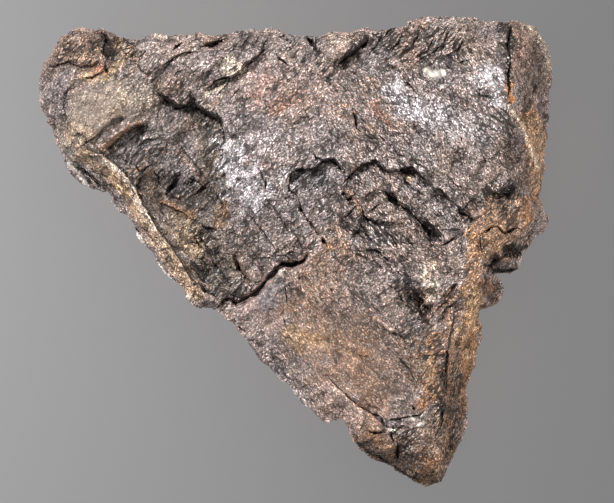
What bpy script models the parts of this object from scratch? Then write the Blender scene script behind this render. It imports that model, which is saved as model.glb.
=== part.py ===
"""Graphite specimen: one broken, roughly triangular hand specimen of graphite-bearing rock, lying flat.

Its upper face is a rough fracture surface with stepped plates, open cracks and a deep hollow on the left.
A bevelled band runs down the lower left edge, and a steep broken flank falls away on the right.
The stone is one closed body on a flat base. Plans and heights below are millimetres, +Y up the plan.
"""

import math
import random

import bmesh
import bpy
import numpy as np
from mathutils import Vector, noise
from mathutils.geometry import delaunay_2d_cdt

MM = 0.001
NODE_NAME = "graphite_specimen"
SEED = 41

# Driving sizes
FACE_HEIGHT = 21.0      # level of the upper face over the base
VIEW_HEIGHT = 500.0     # the plan was drawn from this height over the face, so low points spread outward
VIEW_CENTRE = (1.6, 0.2)
WALL_CENTRE = (8.0, 8.0)  # the walls draw in towards this point of the plan
POINT_SPACING = 1.21    # between the face's scattered points
STEEP_SPACING = 0.95    # the same where the ground is steep
STEEP_SLOPE = 1.0       # rise over run from which ground counts as steep
SLOPE_STEP = 0.3        # plan distance over which the slope is read
RIM_SPACING = 2.0       # between the rim's points
RIM_JITTER = 0.13       # how far a rim point strays from the straight
STEP_HALF_WIDTH = 0.3   # half the width of a ledge's riser, in plan
LOW_REACH = 2.2         # over which the ground in front of a ledge comes back up
HIGH_REACH = 3.2        # over which the ground behind a ledge comes back down
LEDGE_END = 2.0         # length over which a ledge dies out at its ends
CRACK_END = 1.2         # length over which a crack grows shallow at its ends
CRACK_END_DEPTH = 0.35  # depth left at a crack's end, as a share of its depth
CHIP_SETS = ((4.6, 0.8, 1.5), (2.3, 0.55, 7.5))  # the face's chips: size, relief, layer of the noise
GRIT_SCALE = 0.55       # bumps of the fine unevenness per millimetre
LEAST_GAIN = 0.15       # of the roughness in the smoothest region
GRIT_HEIGHT = 0.22      # of the fine unevenness
GRAIN_ALONG = 0.64      # the grain's direction in plan
GRAIN_ACROSS = 0.77
GRAIN_STRETCH = 1.5     # how much longer chips are along the grain
CHIP_LEVELS = 0.7       # height between neighbouring chips, as a share of their size
CHIP_SCRAMBLE = 37.3    # sets which tilt each chip gets
LINE_SPACING = 1.6      # between points along a ledge or a crack
LINE_CLEARANCE = 0.5    # scattered points keep this far from ledges, cracks and the rim
STRAY_SHARE = 0.22      # how far a scattered point strays, as a share of the spacing
MERGE_DISTANCE = 0.06

# The rim, clockwise from the upper left: name, height at its start and its end, plan points
RIM = (
    ("knob", 18.4, 17.6, ((-35.1, 34.4), (-33.5, 34.8), (-31.3, 34.5), (-29.9, 34.3), (-28.5, 33.85))),
    ("saddle", 17.4, 18.2, ((-27.8, 33.4), (-26.3, 33.2), (-24.5, 32.9), (-23.7, 33.5), (-22.6, 33.9),
                            (-21.1, 33.85), (-19.5, 33.75), (-18.3, 34.05), (-16.7, 33.85), (-15.0, 33.8))),
    ("upper edge", 18.0, 18.4, ((-13.1, 33.3), (-11.3, 33.6), (-8.9, 33.85), (-7.0, 34.3), (-4.9, 34.3),
                                (-3.4, 34.75), (-2.5, 34.45), (-1.6, 33.9), (-0.1, 33.4), (1.0, 33.5),
                                (3.1, 33.4), (5.0, 33.8), (6.4, 34.0), (8.3, 33.8), (9.7, 34.2))),
    ("rough corner", 18.0, 17.0, ((11.4, 34.6), (12.8, 34.4), (15.1, 35.0), (16.6, 35.05), (18.1, 35.7),
                                  (19.9, 36.3), (22.3, 36.5), (25.5, 36.4), (27.7, 36.25), (30.2, 35.9),
                                  (32.8, 35.9))),
    ("flank shoulder", 14.5, 5.0, ((33.9, 35.9), (35.3, 35.4), (36.9, 35.0), (38.0, 33.5), (38.9, 32.1),
                                   (39.7, 30.2), (40.0, 28.3))),
    ("flank bulge", 4.6, 5.0, ((39.9, 26.1), (39.25, 23.7), (38.5, 22.6))),
    ("flank foot", 5.0, 6.0, ((38.35, 20.6), (38.35, 17.0), (38.5, 15.4), (38.35, 12.5), (38.0, 10.6),
                              (37.5, 8.65))),
    ("ochre lobe", 6.4, 9.4, ((38.0, 7.4), (38.9, 5.4), (38.5, 3.85), (36.9, 2.8), (36.0, 1.0),
                              (35.0, -0.2))),
    ("cavity mouth", 9.6, 10.5, ((34.8, -1.8), (34.6, -2.4), (33.4, -3.15), (30.2, -3.3))),
    ("tooth", 8.6, 9.6, ((31.1, -4.2), (32.1, -5.6), (31.5, -6.9), (30.0, -8.2), (28.5, -8.4))),
    ("lower flank", 10.0, 8.6, ((28.0, -10.6), (28.45, -11.1), (28.5, -12.7), (27.9, -14.8), (27.4, -17.4),
                                (26.7, -20.0), (26.2, -22.4), (26.1, -24.6), (26.0, -26.7), (25.5, -28.8),
                                (24.6, -30.9), (23.8, -32.6))),
    ("tip", 8.8, 11.0, ((23.2, -34.7), (22.7, -35.8), (21.3, -36.1), (20.0, -36.5), (19.3, -36.1),
                        (18.7, -35.5))),
    ("heel of the tip", 12.0, 16.6, ((17.2, -34.8), (15.5, -33.5), (13.7, -32.35), (12.0, -31.7),
                                     (10.3, -30.5), (9.3, -29.3), (8.3, -28.1), (7.9, -26.7), (7.2, -25.4))),
    ("sharp edge", 17.0, 18.4, ((6.2, -25.9), (5.0, -26.5), (3.9, -26.0), (3.1, -24.9), (1.3, -23.4),
                                (0.3, -22.7), (-0.2, -21.2), (-1.6, -20.0), (-3.0, -18.9), (-4.2, -17.5),
                                (-5.4, -16.5), (-6.8, -14.6), (-8.0, -13.4), (-9.4, -12.0), (-10.1, -10.9),
                                (-11.4, -9.9))),
    ("foot of the band", 17.0, 13.2, ((-12.3, -8.9), (-13.5, -8.6), (-15.0, -8.0), (-16.4, -7.1),
                                      (-17.3, -6.0), (-19.0, -4.7), (-20.4, -3.15), (-21.8, -1.5),
                                      (-22.65, 0.2), (-24.0, 1.4), (-24.9, 2.65), (-24.9, 3.5), (-25.8, 5.0),
                                      (-27.2, 6.55), (-28.7, 7.9), (-30.1, 9.6), (-31.6, 10.0),
                                      (-32.85, 10.4), (-33.9, 11.3))),
    ("left shoulder", 13.4, 15.6, ((-34.9, 12.5), (-35.8, 14.1), (-36.1, 15.3), (-36.8, 16.5), (-37.3, 18.2),
                                   (-37.9, 19.6), (-38.9, 20.9), (-39.7, 22.6), (-40.0, 24.0))),
    ("left side", 15.6, 18.0, ((-39.9, 25.9), (-39.5, 27.6), (-39.0, 29.1), (-38.1, 30.0), (-37.7, 31.1),
                               (-37.3, 32.6), (-36.5, 33.5))),
)

# Crests and feet where two slopes meet, as plan points with their heights
CREASES = (
    ("crest of the band", ((-33.5, 16.3, 19.8), (-31.0, 15.2, 19.5), (-29.7, 14.3, 19.4), (-28.0, 13.1, 19.2),
                           (-26.4, 11.6, 19.0), (-25.1, 9.8, 19.0), (-24.2, 7.7, 18.9), (-23.2, 5.95, 18.8),
                           (-22.0, 3.9, 18.7), (-20.9, 2.65, 18.6), (-19.5, 0.75, 18.5), (-18.1, -1.2, 18.4),
                           (-17.1, -3.1, 18.4), (-16.1, -4.8, 18.4), (-14.0, -7.0, 18.5),
                           (-12.3, -7.9, 18.5))),
    ("crest of the flank", ((32.4, 34.9, 19.6), (32.4, 32.1, 20.4), (32.7, 30.5, 20.8), (32.9, 29.0, 21.0),
                            (32.2, 27.6, 21.3), (32.4, 25.9, 21.4), (32.6, 24.5, 21.5), (32.2, 22.4, 21.7),
                            (31.9, 19.8, 21.6), (31.9, 14.6, 21.2), (32.9, 11.5, 20.6), (33.7, 10.4, 19.8))),
    ("upper flank", ((35.2, 33.6, 15.5), (35.8, 31.0, 15.0), (36.2, 28.0, 14.2), (35.4, 25.0, 14.8))),
    ("side crest", ((33.6, 21.9, 19.4), (34.8, 20.0, 18.4), (35.5, 18.1, 17.6), (36.0, 16.3, 16.8),
                    (36.6, 13.7, 15.4), (36.7, 12.0, 14.4))),
    ("ochre brow", ((33.7, 8.6, 18.2), (35.2, 6.6, 16.4), (36.4, 4.9, 13.6), (35.0, 2.9, 15.2),
                    (34.0, 0.9, 15.0))),
    ("edge over the tooth", ((28.4, 3.0, 19.5), (28.6, 0.75, 19.3), (28.75, -1.0, 19.1), (28.9, -3.1, 18.6),
                             (28.5, -5.7, 18.4), (27.9, -7.6, 18.3))),
    ("lower crest", ((26.9, -9.5, 18.4), (25.4, -12.0, 18.3), (23.9, -14.5, 18.4), (23.1, -16.0, 18.5),
                     (22.7, -18.4, 18.5), (22.6, -20.1, 18.4), (22.7, -21.9, 18.3), (22.1, -24.8, 18.0),
                     (22.0, -27.1, 17.6), (21.7, -29.7, 16.9), (22.0, -32.0, 15.8), (21.9, -34.0, 14.4))),
    ("foot of the crest", ((24.9, -16.6, 14.6), (24.4, -19.6, 14.2), (24.2, -22.6, 13.8),
                           (23.9, -26.5, 13.6))),
)

# Spot heights of the upper face, by region
SPOTS = {
    "knob": ((-35.5, 31.8, 21.4), (-33.0, 32.0, 22.1), (-30.8, 31.0, 21.7), (-33.5, 29.8, 21.3)),
    "saddle": ((-27.6, 31.9, 19.3), (-29.6, 27.8, 20.6)),
    "shelf": ((-38.0, 27.8, 18.6), (-37.8, 24.5, 18.7), (-37.0, 21.5, 18.6), (-36.8, 29.6, 20.0)),
    "plateau": ((-34.6, 24.5, 20.6), (-31.0, 25.2, 21.4), (-33.8, 20.5, 20.6), (-29.5, 21.8, 21.3),
                (-26.0, 25.5, 21.3), (-33.6, 18.0, 20.4)),
    "plates": ((-24.0, 31.0, 20.2), (-22.3, 29.2, 20.8), (-20.0, 31.8, 19.9), (-17.0, 29.6, 21.2),
               (-15.5, 32.2, 19.7), (-19.0, 26.4, 20.9), (-14.0, 28.4, 21.5), (-11.0, 29.8, 21.6),
               (-8.5, 32.0, 20.8), (-13.2, 24.6, 20.4), (-16.2, 25.4, 21.0), (-23.5, 23.2, 20.2)),
    "main face": ((-8.0, 24.5, 21.2), (-3.0, 28.5, 21.5), (-3.0, 32.0, 20.5), (2.0, 29.8, 20.8),
                  (-6.0, 18.0, 21.0), (-1.0, 21.0, 21.8), (5.0, 26.0, 21.9), (8.0, 20.0, 22.2),
                  (3.0, 17.0, 21.8), (6.4, 32.2, 21.4), (12.0, 30.5, 21.2), (14.0, 24.0, 22.3),
                  (20.0, 30.5, 21.4), (26.0, 31.0, 21.6), (26.0, 25.0, 22.3), (20.0, 22.0, 22.1),
                  (28.0, 19.0, 22.0), (22.0, 15.0, 21.8), (14.0, 17.0, 22.0), (28.0, 12.0, 21.3)),
    "sheen slope": ((-10.0, 15.0, 20.5), (-11.0, 9.5, 19.9), (-6.0, 11.5, 21.2), (-11.6, 19.0, 19.6)),
    "hollow": ((-20.0, 20.4, 18.3), (-16.0, 18.6, 17.9), (-25.6, 16.6, 18.0), (-20.0, 14.5, 17.2),
               (-15.0, 13.6, 18.0), (-22.0, 10.4, 16.7), (-16.5, 9.0, 17.0), (-20.0, 6.5, 16.7),
               (-13.0, 5.0, 18.1), (-17.0, 2.6, 16.5), (-12.2, 0.4, 17.4), (-15.3, -1.6, 16.4),
               (-10.8, -3.4, 16.4), (-13.5, -5.4, 16.9)),
    "middle": ((-7.0, 7.0, 20.6), (-6.0, 2.0, 20.3), (-6.4, -2.0, 19.9), (-4.6, -3.4, 19.4),
               (0.0, 5.0, 20.8), (-1.6, 1.2, 20.4), (2.6, 9.4, 21.0), (0.6, 15.0, 21.6), (6.4, 6.6, 20.8),
               (6.0, 2.0, 20.7), (9.6, 11.0, 21.0), (14.0, 11.4, 21.2), (12.4, 7.6, 20.9),
               (18.0, 9.6, 21.2), (23.4, 7.4, 20.7), (17.0, 4.8, 20.6), (24.4, 4.0, 20.2),
               (20.0, 0.8, 19.5), (11.6, 3.0, 19.7), (14.2, 1.2, 19.5)),
    "lower face": ((2.0, -3.4, 20.7), (8.0, -3.0, 20.7), (15.0, -4.0, 20.1), (4.0, -9.0, 20.6),
                   (10.0, -10.0, 20.5), (16.0, -12.4, 19.9), (21.0, -5.2, 20.4), (25.0, -4.0, 19.8),
                   (26.0, 1.5, 19.8), (18.6, -8.2, 17.9), (24.2, -8.6, 19.3), (22.4, -11.4, 19.2)),
    "left facet": ((-10.2, -9.2, 18.9), (-7.0, -8.6, 19.8), (-2.5, -5.0, 20.5), (-3.4, -9.4, 20.0),
                   (-4.6, -13.0, 19.1), (-6.6, -12.6, 18.7)),
    "foot": ((0.0, -13.0, 20.2), (1.6, -18.0, 19.6), (7.0, -17.0, 20.3), (6.0, -22.0, 19.2),
             (12.0, -18.4, 20.2), (17.0, -18.0, 19.8), (20.2, -19.0, 19.4), (14.0, -23.4, 19.4),
             (18.6, -24.6, 18.9), (10.6, -27.0, 18.5), (17.0, -28.8, 18.2), (13.0, -30.0, 17.5),
             (19.4, -31.2, 17.1), (20.3, -34.2, 15.2)),
    "flank": ((30.6, 5.6, 19.4), (31.6, 2.6, 18.4), (31.4, -0.8, 17.6), (30.6, -6.4, 11.0),
              (37.4, 6.0, 10.4), (38.2, 28.0, 8.4), (37.2, 24.0, 9.8), (37.2, 20.4, 10.6)),
}

# Ledges: the height they drop, and the line of their brink, with the low ground on the right of its direction
LEDGES = (
    ("under the plateau", 0.9, ((-33.4, 16.6), (-31.0, 18.6), (-28.5, 20.6), (-26.0, 21.4))),
    ("ochre ledge", 1.3, ((-30.8, 15.8), (-27.8, 18.1), (-24.5, 19.8), (-22.6, 20.4))),
    ("edge of the shelf", 0.5, ((-36.2, 20.6), (-36.0, 23.3), (-35.8, 24.9), (-34.6, 26.6), (-32.0, 27.0))),
    ("left brow", 1.9, ((-22.4, 25.2), (-20.9, 24.65), (-19.9, 23.6), (-18.5, 22.7), (-16.2, 22.6))),
    ("right brow", 1.9, ((-16.2, 24.6), (-15.0, 22.4), (-13.6, 21.5), (-11.9, 20.8), (-11.2, 19.0),
                         (-11.0, 17.4))),
    ("plate over the face", 1.1, ((-14.6, 24.8), (-13.1, 26.2), (-11.7, 26.7), (-9.95, 27.3), (-8.9, 28.1),
                                  (-7.5, 29.3), (-6.1, 30.5), (-4.6, 31.8))),
    ("small plate", 0.6, ((-16.4, 26.2), (-13.6, 28.6), (-10.6, 31.0))),
    ("thin ledge", 0.6, ((-23.0, 27.4), (-21.1, 28.5), (-20.2, 29.5), (-18.6, 30.7), (-16.7, 31.15),
                         (-14.8, 31.2))),
    ("dark riser", 1.7, ((5.4, 28.6), (6.6, 29.9), (8.6, 31.5), (11.2, 33.2))),
    ("brink of the blocks", 1.1, ((-1.4, 9.6), (-1.3, 11.6), (-0.1, 12.8), (1.8, 13.0), (3.0, 13.2),
                                  (4.1, 14.3), (5.7, 14.5), (6.4, 13.8), (7.6, 12.4), (9.3, 13.2),
                                  (11.1, 14.1), (12.6, 14.3), (14.0, 12.9), (15.6, 13.0), (17.9, 13.2),
                                  (19.9, 11.4), (20.9, 10.0), (23.2, 8.8), (24.9, 7.0), (26.7, 5.6),
                                  (28.0, 4.2))),
    ("block step", 0.9, ((9.2, 7.4), (10.5, 8.5), (12.1, 9.8), (13.4, 10.2))),
    ("lower block", 1.2, ((8.6, 4.9), (10.1, 5.8), (11.8, 5.3), (13.6, 4.6), (14.8, 3.4))),
    ("white edge", 0.7, ((9.6, 0.3), (11.4, 0.75), (12.6, 0.75), (13.3, -0.1), (14.9, -1.3))),
    ("rim of the fissure", 1.3, ((-1.6, -4.6), (-4.3, -4.6), (-6.3, -6.6), (-9.3, -8.3), (-11.4, -8.9))),
    ("left facet foot", 0.7, ((-1.7, -8.6), (-2.2, -9.9), (-3.9, -10.9), (-5.6, -12.2))),
    ("ridge by the hollow", 1.5, ((23.2, -7.2), (21.6, -8.8), (20.1, -10.6), (18.8, -11.6))),
    ("gully by the crest", 1.2, ((23.2, -15.6), (22.9, -18.6), (22.8, -20.6), (22.9, -22.6))),
    ("brow of the flank", 1.0, ((33.0, 35.2), (32.9, 33.0), (33.1, 30.2), (32.9, 27.8), (32.9, 25.0),
                                (32.5, 22.6), (32.3, 20.0), (32.2, 15.6))),
    ("roof of the cavity", 3.4, ((36.0, 0.0), (34.2, -0.3), (32.4, -0.6), (30.6, -1.6), (29.0, -2.2))),
)

# Open cracks: width at the top, depth, line
CRACKS = (
    ("main fissure", 1.1, 2.2, ((-11.9, -8.0), (-10.7, -7.05), (-9.3, -7.9), (-7.7, -7.05), (-6.3, -6.0),
                                (-5.3, -5.3), (-4.3, -3.9), (-2.9, -2.4), (-2.2, -1.7), (-1.0, -1.9),
                                (0.1, -1.7), (1.1, -1.15), (1.7, -0.1))),
    ("wedge", 1.2, 1.9, ((-9.4, -0.6), (-8.8, -2.5), (-7.9, -3.8), (-6.6, -5.2))),
    ("long crack", 0.8, 1.0, ((0.0, 9.1), (0.6, 6.8), (1.3, 5.6), (2.7, 3.7), (3.5, 2.5), (4.8, 0.9))),
    ("twin crack", 0.8, 1.0, ((6.9, 10.2), (7.6, 8.7), (8.7, 7.8), (9.5, 7.2))),
    ("block crack", 0.8, 1.0, ((9.9, 7.6), (10.5, 5.8), (11.3, 5.1))),
    ("diagonal crack", 0.9, 1.4, ((13.6, 9.5), (14.7, 8.4), (16.1, 7.3), (17.5, 6.3), (18.5, 5.4),
                                  (19.4, 4.6))),
    ("black pocket", 1.9, 1.7, ((19.3, 4.6), (20.3, 3.7), (21.4, 2.4), (22.4, 1.5))),
    ("pocket tail", 0.8, 0.9, ((22.4, 1.2), (23.4, 1.6), (24.9, 2.5))),
    ("black hollow", 3.0, 1.7, ((17.2, -6.6), (18.6, -7.6), (20.2, -8.6), (20.4, -10.0))),
    ("upper wedge", 1.1, 1.4, ((1.5, 33.0), (2.3, 32.6), (4.0, 30.9))),
    ("upper pocket", 1.6, 1.5, ((-11.6, 32.9), (-13.0, 32.4), (-14.8, 31.9))),
    ("slot", 0.8, 0.9, ((-19.3, 31.2), (-17.9, 32.6))),
    ("knob crack", 0.8, 1.0, ((-25.9, 30.7), (-24.9, 29.5), (-24.1, 28.3), (-22.9, 27.4))),
    ("band crack", 0.8, 1.0, ((-33.4, 12.9), (-32.0, 11.8), (-29.9, 9.9))),
    ("hollow crack", 0.8, 0.9, ((-19.0, 11.7), (-19.0, 10.8), (-20.4, 8.9))),
    ("cross crack", 0.8, 0.9, ((-12.5, 12.2), (-13.9, 10.6), (-15.2, 9.3))),
    ("ochre crack", 0.8, 0.9, ((28.7, 2.95), (30.9, 4.2), (32.1, 2.95), (34.1, 3.9))),
    ("dark notch", 1.4, 1.3, ((29.4, 9.3), (31.4, 8.6), (33.3, 9.6))),
    ("face crack", 0.8, 0.8, ((8.7, 22.0), (9.1, 20.7), (9.2, 19.3), (10.2, 18.4))),
    ("right crack", 0.8, 0.8, ((16.5, 26.6), (17.9, 25.7), (19.2, 24.4))),
    ("short crack", 0.8, 0.8, ((-5.8, 12.9), (-5.3, 11.7), (-4.8, 10.2))),
    ("foot crack", 0.8, 0.8, ((6.7, -21.2), (9.7, -23.8), (12.3, -25.2), (14.1, -27.1))),
    ("left branch", 0.8, 0.9, ((11.1, -27.8), (12.5, -28.0), (14.0, -27.6))),
    ("right branch", 0.8, 0.8, ((14.7, -27.2), (18.4, -27.2))),
    ("tip wedge", 1.0, 1.2, ((14.7, -27.9), (15.6, -29.5), (15.8, -30.4), (15.6, -32.0))),
    ("edge crack", 0.8, 0.9, ((24.6, -5.0), (22.3, -7.2))),
)

# Regions rougher or smoother than the rest: plan centre, radius, gain of the roughness
TEXTURE_REGIONS = (
    ("rough corner", 20.0, 32.0, 6.0, 0.9),
    ("hollow", -19.0, 11.0, 8.0, 0.9),
    ("lower hollow", -13.0, -3.0, 5.0, 0.9),
    ("knob", -33.0, 31.5, 4.0, 0.8),
    ("blocks", 14.0, 6.0, 8.0, 0.7),
    ("black hollow", 20.0, -7.5, 3.5, 0.9),
    ("plateau", -31.0, 22.5, 5.0, -0.7),
    ("smooth foot", 6.0, -14.0, 9.0, -0.45),
    ("left facet", -5.5, -7.5, 4.0, -0.6),
)

# The walls under the rim, in beds that stand out or back like steps: share of the way down,
# shrink towards the wall centre, rounds of smoothing, bed, strength of its chips
WALL_RINGS = (
    (0.08, 0.998, 0, 1, 0.6),
    (0.30, 0.985, 1, 1, 1.0),
    (0.36, 0.975, 2, 2, 1.0),
    (0.60, 0.960, 3, 2, 1.0),
    (0.67, 0.945, 5, 3, 1.0),
    (0.90, 0.905, 8, 3, 0.8),
    (1.00, 0.850, 10, 4, 0.4),
)
WALL_CHIPS = 2.4         # how far the walls' chips and beds stand in and out
WALL_CHIP_SIZE = 8.5
SMALL_CHIP_SHARE = 0.5   # size and relief of the smaller chips on each larger one
FLANK_CHIPS = 1.5        # relief of the chips on the steep flanks
FLANK_CHIP_SIZE = 5.5
FLANK_NORMAL = 0.8       # ground whose normal rises less than this counts as flank
BED_SPACING = 6.0        # between the beds, where their chips are drawn from
BED_WAVE = 0.06          # how far a bed's edge rises and falls, as a share of the wall
BED_WAVELENGTH = 8.0
WALL_SETBACK = 0.2       # how far the chips stand back on the whole, as a share of their relief
SMOOTHING_SHARE = 0.5    # of the way to the mean of its neighbours in one round

STONE_COLOUR = (0.16, 0.135, 0.125, 1.0)
STONE_ROUGHNESS = 0.55
STONE_METALLIC = 0.15


def clear_scene():
    """Remove every object that the file starts with."""
    for item in list(bpy.data.objects):
        bpy.data.objects.remove(item, do_unlink=True)


def split_line(points, spacing):
    """Return the line's points with more put between them, no further apart than the spacing."""
    result = [np.array(points[0], float)]
    for start, end in zip(points, points[1:]):
        start = np.array(start, float)
        end = np.array(end, float)
        pieces = max(1, math.ceil(np.linalg.norm((end - start)[:2]) / spacing))
        for count in range(1, pieces + 1):
            result.append(start + (end - start) * count / pieces)
    return np.array(result)


def rim_points():
    """Return the rim as plan points with heights, broken finely enough to look chipped."""
    corners = []
    for _, first_height, last_height, points in RIM:
        heights = np.linspace(first_height, last_height, len(points))
        corners += [(x, y, height) for (x, y), height in zip(points, heights)]
    line = split_line(corners + corners[:1], RIM_SPACING)[:-1]
    chance = random.Random(SEED)
    for point in line:
        point[:2] += (chance.uniform(-RIM_JITTER, RIM_JITTER), chance.uniform(-RIM_JITTER, RIM_JITTER))
    return line


def inside(places, loop):
    """Say which plan places lie inside the closed loop."""
    x, y = places[:, 0], places[:, 1]
    result = np.zeros(len(places), bool)
    for (x0, y0), (x1, y1) in zip(loop, np.roll(loop, -1, axis=0)):
        if y0 == y1:
            continue
        crosses = (y0 > y) != (y1 > y)
        result ^= crosses & (x < x0 + (y - y0) * (x1 - x0) / (y1 - y0))
    return result


def near_line(places, line):
    """Return each place's distance to the line, its side (+1 right) and how far along the line it is."""
    best = np.full(len(places), np.inf)
    side = np.ones(len(places))
    along = np.zeros(len(places))
    walked = 0.0
    for start, end in zip(line, line[1:]):
        run = end - start
        length = np.linalg.norm(run)
        offset = places - start
        share = np.clip(offset @ run / length ** 2, 0.0, 1.0)
        gap = offset - share[:, None] * run
        distance = np.hypot(gap[:, 0], gap[:, 1])
        closer = distance < best
        best[closer] = distance[closer]
        turn = run[1] * offset[:, 0] - run[0] * offset[:, 1]
        side[closer] = np.where(turn[closer] >= 0.0, 1.0, -1.0)
        along[closer] = walked + share[closer] * length
        walked += length
    return best, side, along, walked


def ends_fade(along, total, reach):
    """Return 1 along the middle of a line, falling to 0 at its two ends."""
    gap = np.clip(np.minimum(along, total - along) / min(reach, 0.5 * total), 0.0, 1.0)
    return gap * gap * (3.0 - 2.0 * gap)


def ledge_height(places, drop, points):
    """Return how far a ledge lifts the ground behind its brink and lowers the ground in front."""
    distance, side, along, total = near_line(places, np.array(points, float))
    riser = np.clip(distance / STEP_HALF_WIDTH, 0.0, 1.0)
    beyond = np.maximum(distance - STEP_HALF_WIDTH, 0.0)
    reach = np.where(side > 0.0, LOW_REACH, HIGH_REACH)
    return -0.5 * drop * side * riser * np.exp(-beyond / reach) * ends_fade(along, total, LEDGE_END)


def crack_height(places, width, depth, points):
    """Return how far a V-shaped crack lowers the ground."""
    distance, _, along, total = near_line(places, np.array(points, float))
    wall = np.clip(1.0 - distance / (0.5 * width), 0.0, 1.0)
    share = CRACK_END_DEPTH + (1.0 - CRACK_END_DEPTH) * ends_fade(along, total, CRACK_END)
    return -depth * wall * share


def coarse_surface(rim):
    """Return the big facets between rim, creases and spot heights: corner places and triangles."""
    corners = [tuple(point) for point in rim]
    edges = []
    for _, points in CREASES:
        first = len(corners)
        corners += points
        edges += [(first + step, first + step + 1) for step in range(len(points) - 1)]
    for group in SPOTS.values():
        corners += group
    corners = np.array(corners, float)
    plan = [Vector(corner[:2]) for corner in corners]
    places, _, triangles, origins = delaunay_2d_cdt(plan, edges, [list(range(len(rim)))], 1, 1e-5)[:4]
    heights = [corners[origin[0], 2] for origin in origins]
    return np.column_stack([np.array(places), heights]), np.array(triangles)


def height_on(places, corners, triangles):
    """Return the height of the big facets at each plan place."""
    heights = np.full(len(places), np.nan)
    margins = np.full(len(places), -np.inf)
    for one, two, three in corners[triangles]:
        area = np.cross(two[:2] - one[:2], three[:2] - one[:2])
        if abs(area) < 1e-9:
            continue
        second = np.cross(places - one[:2], (three - one)[:2]) / area
        third = np.cross((two - one)[:2], places - one[:2]) / area
        margin = np.minimum(np.minimum(second, third), 1.0 - second - third)
        better = margin > margins
        margins[better] = margin[better]
        height = one[2] + second * (two[2] - one[2]) + third * (three[2] - one[2])
        heights[better] = height[better]
    return heights


def chip(place):
    """Return the relief of flat chips about one unit across, each with its own tilt and level."""
    corner = noise.voronoi(place)[1][0]
    tilt = noise.cell_vector(corner * CHIP_SCRAMBLE) - Vector((0.5, 0.5, 0.5))
    return tilt.dot(place - corner) + CHIP_LEVELS * tilt.z


def face_chip(x, y, size, layer):
    """Return the relief of the face's chips, which are longer along the rock's grain."""
    along_grain = (GRAIN_ACROSS * y + GRAIN_ALONG * x) / (GRAIN_STRETCH * size)
    across_grain = (GRAIN_ACROSS * x - GRAIN_ALONG * y) / size
    return chip(Vector((across_grain, along_grain, layer)))


def roughness(x, y):
    """Return the small relief of the broken face at a plan place."""
    gain = 1.0
    for _, centre_x, centre_y, radius, change in TEXTURE_REGIONS:
        gain += change * math.exp(-((x - centre_x) ** 2 + (y - centre_y) ** 2) / radius ** 2)
    grit = GRIT_HEIGHT * noise.fractal(Vector((x, y, 0.0)) * GRIT_SCALE, 1.0, 2.0, 3)
    chips = sum(relief * face_chip(x, y, size, layer) for size, relief, layer in CHIP_SETS)
    return max(gain, LEAST_GAIN) * (grit + chips)


def face_heights(places, surface):
    """Return the finished height of the upper face at each plan place."""
    heights = height_on(places, *surface)
    for _, drop, points in LEDGES:
        heights += ledge_height(places, drop, points)
    for _, width, depth, points in CRACKS:
        heights += crack_height(places, width, depth, points)
    heights += [roughness(x, y) for x, y in places]
    return heights


def beside(points, gap):
    """Return the line moved sideways by the gap, to the right of its direction."""
    line = split_line(points, LINE_SPACING)
    run = np.gradient(line, axis=0)
    run /= np.linalg.norm(run, axis=1)[:, None]
    return line + gap * np.column_stack([run[:, 1], -run[:, 0]])


def break_lines():
    """Return the plan lines that the face's mesh must follow."""
    lines = [split_line([point[:2] for point in points], LINE_SPACING) for _, points in CREASES]
    for _, _, points in LEDGES:
        lines += [beside(points, STEP_HALF_WIDTH), beside(points, -STEP_HALF_WIDTH)]
    for _, width, _, points in CRACKS:
        lines += [beside(points, 0.0), beside(points, 0.5 * width), beside(points, -0.5 * width)]
    return lines


def is_steep(places, surface):
    """Say at which plan places the big facets are steep."""
    here = height_on(places, *surface)
    east = height_on(places + (SLOPE_STEP, 0.0), *surface) - here
    north = height_on(places + (0.0, SLOPE_STEP), *surface) - here
    return np.hypot(east, north) > STEEP_SLOPE * SLOPE_STEP


def scattered_points(rim, lines, surface, spacing, steep):
    """Return plan points spread evenly over the steep or the gentle ground, clear of every line."""
    chance = random.Random(SEED + 1)
    stray = STRAY_SHARE * spacing
    low, high = rim[:, :2].min(axis=0), rim[:, :2].max(axis=0)
    rows = np.arange(low[1], high[1], spacing * math.sin(math.radians(60.0)))
    spots = []
    for row, y in enumerate(rows):
        for x in np.arange(low[0], high[0], spacing) + 0.5 * spacing * (row % 2):
            spots.append((x + chance.uniform(-stray, stray), y + chance.uniform(-stray, stray)))
    spots = np.array(spots)
    keep = inside(spots, rim[:, :2]) & (is_steep(spots, surface) == steep)
    for line in lines + [np.vstack([rim[:, :2], rim[:1, :2]])]:
        keep &= near_line(spots, line)[0] > LINE_CLEARANCE
    return spots[keep]


def face_mesh(rim, surface):
    """Return the plan places and triangles of the finished upper face."""
    lines = break_lines()
    places = [Vector(point) for point in rim[:, :2]]
    loop = np.vstack([rim[:, :2], rim[:1, :2]])
    edges = []
    for line in lines:
        fits = inside(line, rim[:, :2]) & (near_line(line, loop)[0] > LINE_CLEARANCE)
        for step, point in enumerate(line):
            if not fits[step]:
                continue
            if step and fits[step - 1]:
                edges.append((len(places) - 1, len(places)))
            places.append(Vector(point))
    for spacing, steep in ((POINT_SPACING, False), (STEEP_SPACING, True)):
        places += [Vector(point) for point in scattered_points(rim, lines, surface, spacing, steep)]
    found = delaunay_2d_cdt(places, edges, [list(range(len(rim)))], 1, MERGE_DISTANCE)
    return np.array(found[0]), found[2]


def spread(places):
    """Move low points outward from the view centre, as they look nearer to it than they are."""
    factor = (VIEW_HEIGHT + FACE_HEIGHT - places[:, 2]) / VIEW_HEIGHT
    centre = np.array(VIEW_CENTRE)
    places[:, :2] = centre + (places[:, :2] - centre) * factor[:, None]
    return places


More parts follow.
